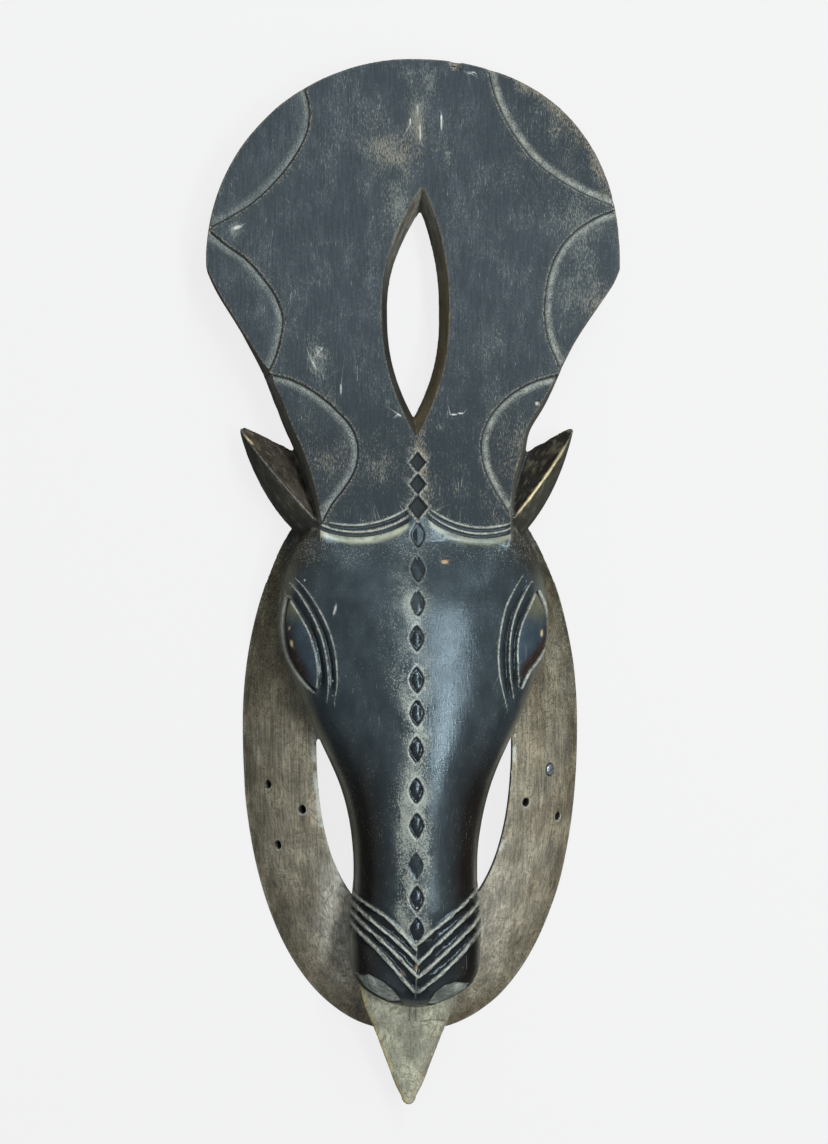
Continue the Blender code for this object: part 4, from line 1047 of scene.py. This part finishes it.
rough_value = sums(tree, "SUBTRACT", 0.77, product(tree, gloss_node, 0.60))
rough_value = sums(tree, "ADD", rough_value, product(tree, sums(tree, "SUBTRACT", streaks, 0.5), 0.30))
rough_value = sums(tree, "ADD", rough_value, product(tree, dusty, 0.25))
rough_value = sums(tree, "ADD", rough_value, product(tree, sums(tree, "SUBTRACT", clouds, 0.5), 0.22))
put(tree, shader.inputs["Roughness"], sums(tree, "ADD", rough_value, product(tree, worn_glint_node, 0.10)))
shader.inputs["Specular IOR Level"].default_value = 0.5
shader.inputs["Specular Tint"].default_value = (0.68, 0.89, 1.0, 1)
relief = product(tree, streaks, sums(tree, "ADD", product(tree, matte, 0.9), 0.42))
relief = sums(tree, "ADD", relief, product(tree, grit, 0.30))
relief = sums(tree, "SUBTRACT", relief, product(tree, scratches, 0.25))
bump = add(tree, "ShaderNodeBump", {"Strength": 0.55, "Distance": 0.0005, "Height": relief})
put(tree, shader.inputs["Normal"], bump.outputs[0])
mask_mesh.materials.clear()
mask_mesh.materials.append(wood)
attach(mask, "root")
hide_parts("mask")


# Screw: a small slotted steel screw, dull and scratched, driven into the band on the right with
# its low domed head in a seat.
head_radius, shank_radius, seat_depth = 3.2, 1.8, 1.3
place_3d, axis = place_on_band(*SCREW_PLACE)
screw = turned("slotted_screw", place_3d, axis, (
    (0.9, -14.2), (shank_radius, -11.6), (shank_radius, -seat_depth), (head_radius - 0.15, -seat_depth),
    (head_radius, -1.1), (head_radius, 0.25), (3.1, 0.48), (2.9, 0.62), (2.4, 0.75), (1.6, 0.84), (0.7, 0.88),
), 48)
slot_side = np.cross(axis, (0.0, 1.0, 0.0))
slot_side /= np.linalg.norm(slot_side)
slot_other = np.cross(axis, slot_side)
slot_along = np.cos(0.6) * slot_side + np.sin(0.6) * slot_other
slot_across = np.cross(axis, slot_along)
corners = np.array(((-4, -0.45), (4, -0.45), (4, 0.45), (-4, 0.45)))
flat_ring = place_3d + corners[:, :1] * slot_along + corners[:, 1:] * slot_across
slot = form("screw_slot", np.stack([flat_ring - 0.7 * axis, flat_ring + 2.0 * axis]))
groove = screw.modifiers.new("slot", "BOOLEAN")
groove.operation = "DIFFERENCE"
groove.solver = "MANIFOLD"
groove.object = slot
screw.data = bpy.data.meshes.new_from_object(screw.evaluated_get(bpy.context.evaluated_depsgraph_get()))
screw.modifiers.clear()
bpy.data.objects.remove(slot, do_unlink=True)
screw.data.shade_smooth()
screw.data.set_sharp_from_angle(angle=np.radians(35))

steel = bpy.data.materials.new("screw_steel")
steel.use_nodes = True
tree = steel.node_tree
shader = tree.nodes["Principled BSDF"]
marks = tree.nodes.new("ShaderNodeGroup")
marks.node_tree = wear
put(tree, marks.inputs["Place"], add(tree, "ShaderNodeTexCoord").outputs["Object"])
marks.inputs["Length"].default_value = 2.5
grime = step(tree, marks.outputs["Grit"], 0.50, 0.68)
colour = tint(tree, product(tree, grime, 0.7), (0.64, 0.69, 0.74), (0.14, 0.13, 0.12))
colour = tint(tree, product(tree, marks.outputs["Scratches"], 0.8), colour, (0.88, 0.92, 0.94))
put(tree, shader.inputs["Base Color"], colour)
shader.inputs["Metallic"].default_value = 1.0
put(tree, shader.inputs["Roughness"], sums(tree, "ADD", product(tree, grime, 0.3), 0.38))
bump = add(tree, "ShaderNodeBump", {"Strength": 0.4, "Distance": 0.0002, "Height": marks.outputs["Grit"]})
put(tree, shader.inputs["Normal"], bump.outputs[0])
screw.data.materials.clear()
screw.data.materials.append(steel)
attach(screw, "root")
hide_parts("screw")


# Studio: a plain pale floor under the mask, two long narrow windows on the right that draw the
# head's highlight, a weak ceiling and far wall, even light from all round, and the camera over
# the mask, a little to its left.
floor_mesh = bpy.data.meshes.new("floor")
FLOOR = 60
corners = [(-FLOOR, -FLOOR, 0), (FLOOR, -FLOOR, 0), (FLOOR, FLOOR, 0), (-FLOOR, FLOOR, 0)]
floor_mesh.from_pydata(corners, [], [(0, 1, 2, 3)])
floor = bpy.data.objects.new("floor", floor_mesh)
bpy.context.scene.collection.objects.link(floor)
paper = bpy.data.materials.new("pale_paper")
paper.use_nodes = True
tree = paper.node_tree
seen = add(tree, "ShaderNodeLightPath").outputs["Is Camera Ray"]
shader = tree.nodes["Principled BSDF"]
shader.inputs["Base Color"].default_value = (0.06, 0.06, 0.06, 1)
# the floor under the band is in its shade: it shows dark through the lashing holes
spot = add(tree, "ShaderNodeSeparateXYZ", {0: add(tree, "ShaderNodeTexCoord").outputs["Object"]}).outputs
flat_x = sums(tree, "DIVIDE", spot[0], 0.0805)
flat_y = sums(tree, "DIVIDE", sums(tree, "ADD", spot[1], 0.085), 0.1535)
from_ring = sums(tree, "ADD", product(tree, flat_x, flat_x), product(tree, flat_y, flat_y))
from_ring = sums(tree, "ABSOLUTE", sums(tree, "SUBTRACT", sums(tree, "SQRT", from_ring), 1.035))
shade = product(tree, step(tree, from_ring, 0.195, 0.175), step(tree, spot[1], 0.0, -0.03))
shader.inputs["Roughness"].default_value = 0.9
shader.inputs["Specular IOR Level"].default_value = 0.0
shader.inputs["Emission Color"].default_value = (1, 1, 1, 1)
glow = sums(tree, "SUBTRACT", 0.815, product(tree, shade, 0.80))
put(tree, shader.inputs["Emission Strength"], product(tree, seen, glow))
floor_mesh.materials.append(paper)


def aimed(place, aim):
    """Rotation of a lamp or camera at a place that looks at aim, upright along +Y."""
    away = (Vector(place) - Vector(aim)).normalized()
    right = Vector((0, 1, 0)).cross(away).normalized()
    return Matrix((right, away.cross(right), away)).transposed().to_euler()


def lamp(name, place, aim, size, power, colour):
    """Rectangular soft lamp at a place, aimed at a point; its size is across X and along Y."""
    light = bpy.data.lights.new(name, "AREA")
    light.shape = "RECTANGLE"
    light.size, light.size_y = size
    light.energy = power
    light.color = colour
    obj = bpy.data.objects.new(name, light)
    obj.location, obj.rotation_euler = place, aimed(place, aim)
    bpy.context.scene.collection.objects.link(obj)


lamp("window_near", (0.60, -0.10, 1.6), (0.02, -0.10, 0.03), (0.12, 0.9), 17, (0.96, 0.99, 1.0))
lamp("window_far", (0.46, 1.00, 1.6), (0.02, 0.15, 0.03), (0.12, 1.3), 21, (0.94, 0.98, 1.0))
lamp("ceiling", (0.1, 0.85, 2.1), (0, 0.15, 0.03), (1.2, 1.0), 0.9, (0.95, 0.97, 1.0))
lamp("far_wall", (-0.2, 1.9, 0.9), (0, 0, 0.03), (1.6, 0.6), 2.5, (0.85, 0.95, 1.0))
world = bpy.data.worlds.new("studio")
world.use_nodes = True
world.node_tree.nodes["Background"].inputs["Color"].default_value = (0.93, 0.97, 1.0, 1)
world.node_tree.nodes["Background"].inputs["Strength"].default_value = 0.37
bpy.context.scene.world = world
bpy.context.scene.view_settings.view_transform = "Standard"

view = bpy.data.cameras.new("camera")
view.sensor_fit = "VERTICAL"
view.sensor_height = 36
view.lens = 82.48
camera = bpy.data.objects.new("camera", view)
camera.location = (-0.0905, 0.0065, 1.600)
camera.rotation_euler = aimed(camera.location, (0.0004, 0.0065, 0.030))
bpy.context.scene.collection.objects.link(camera)
bpy.context.scene.camera = camera

bpy.context.view_layer.update()
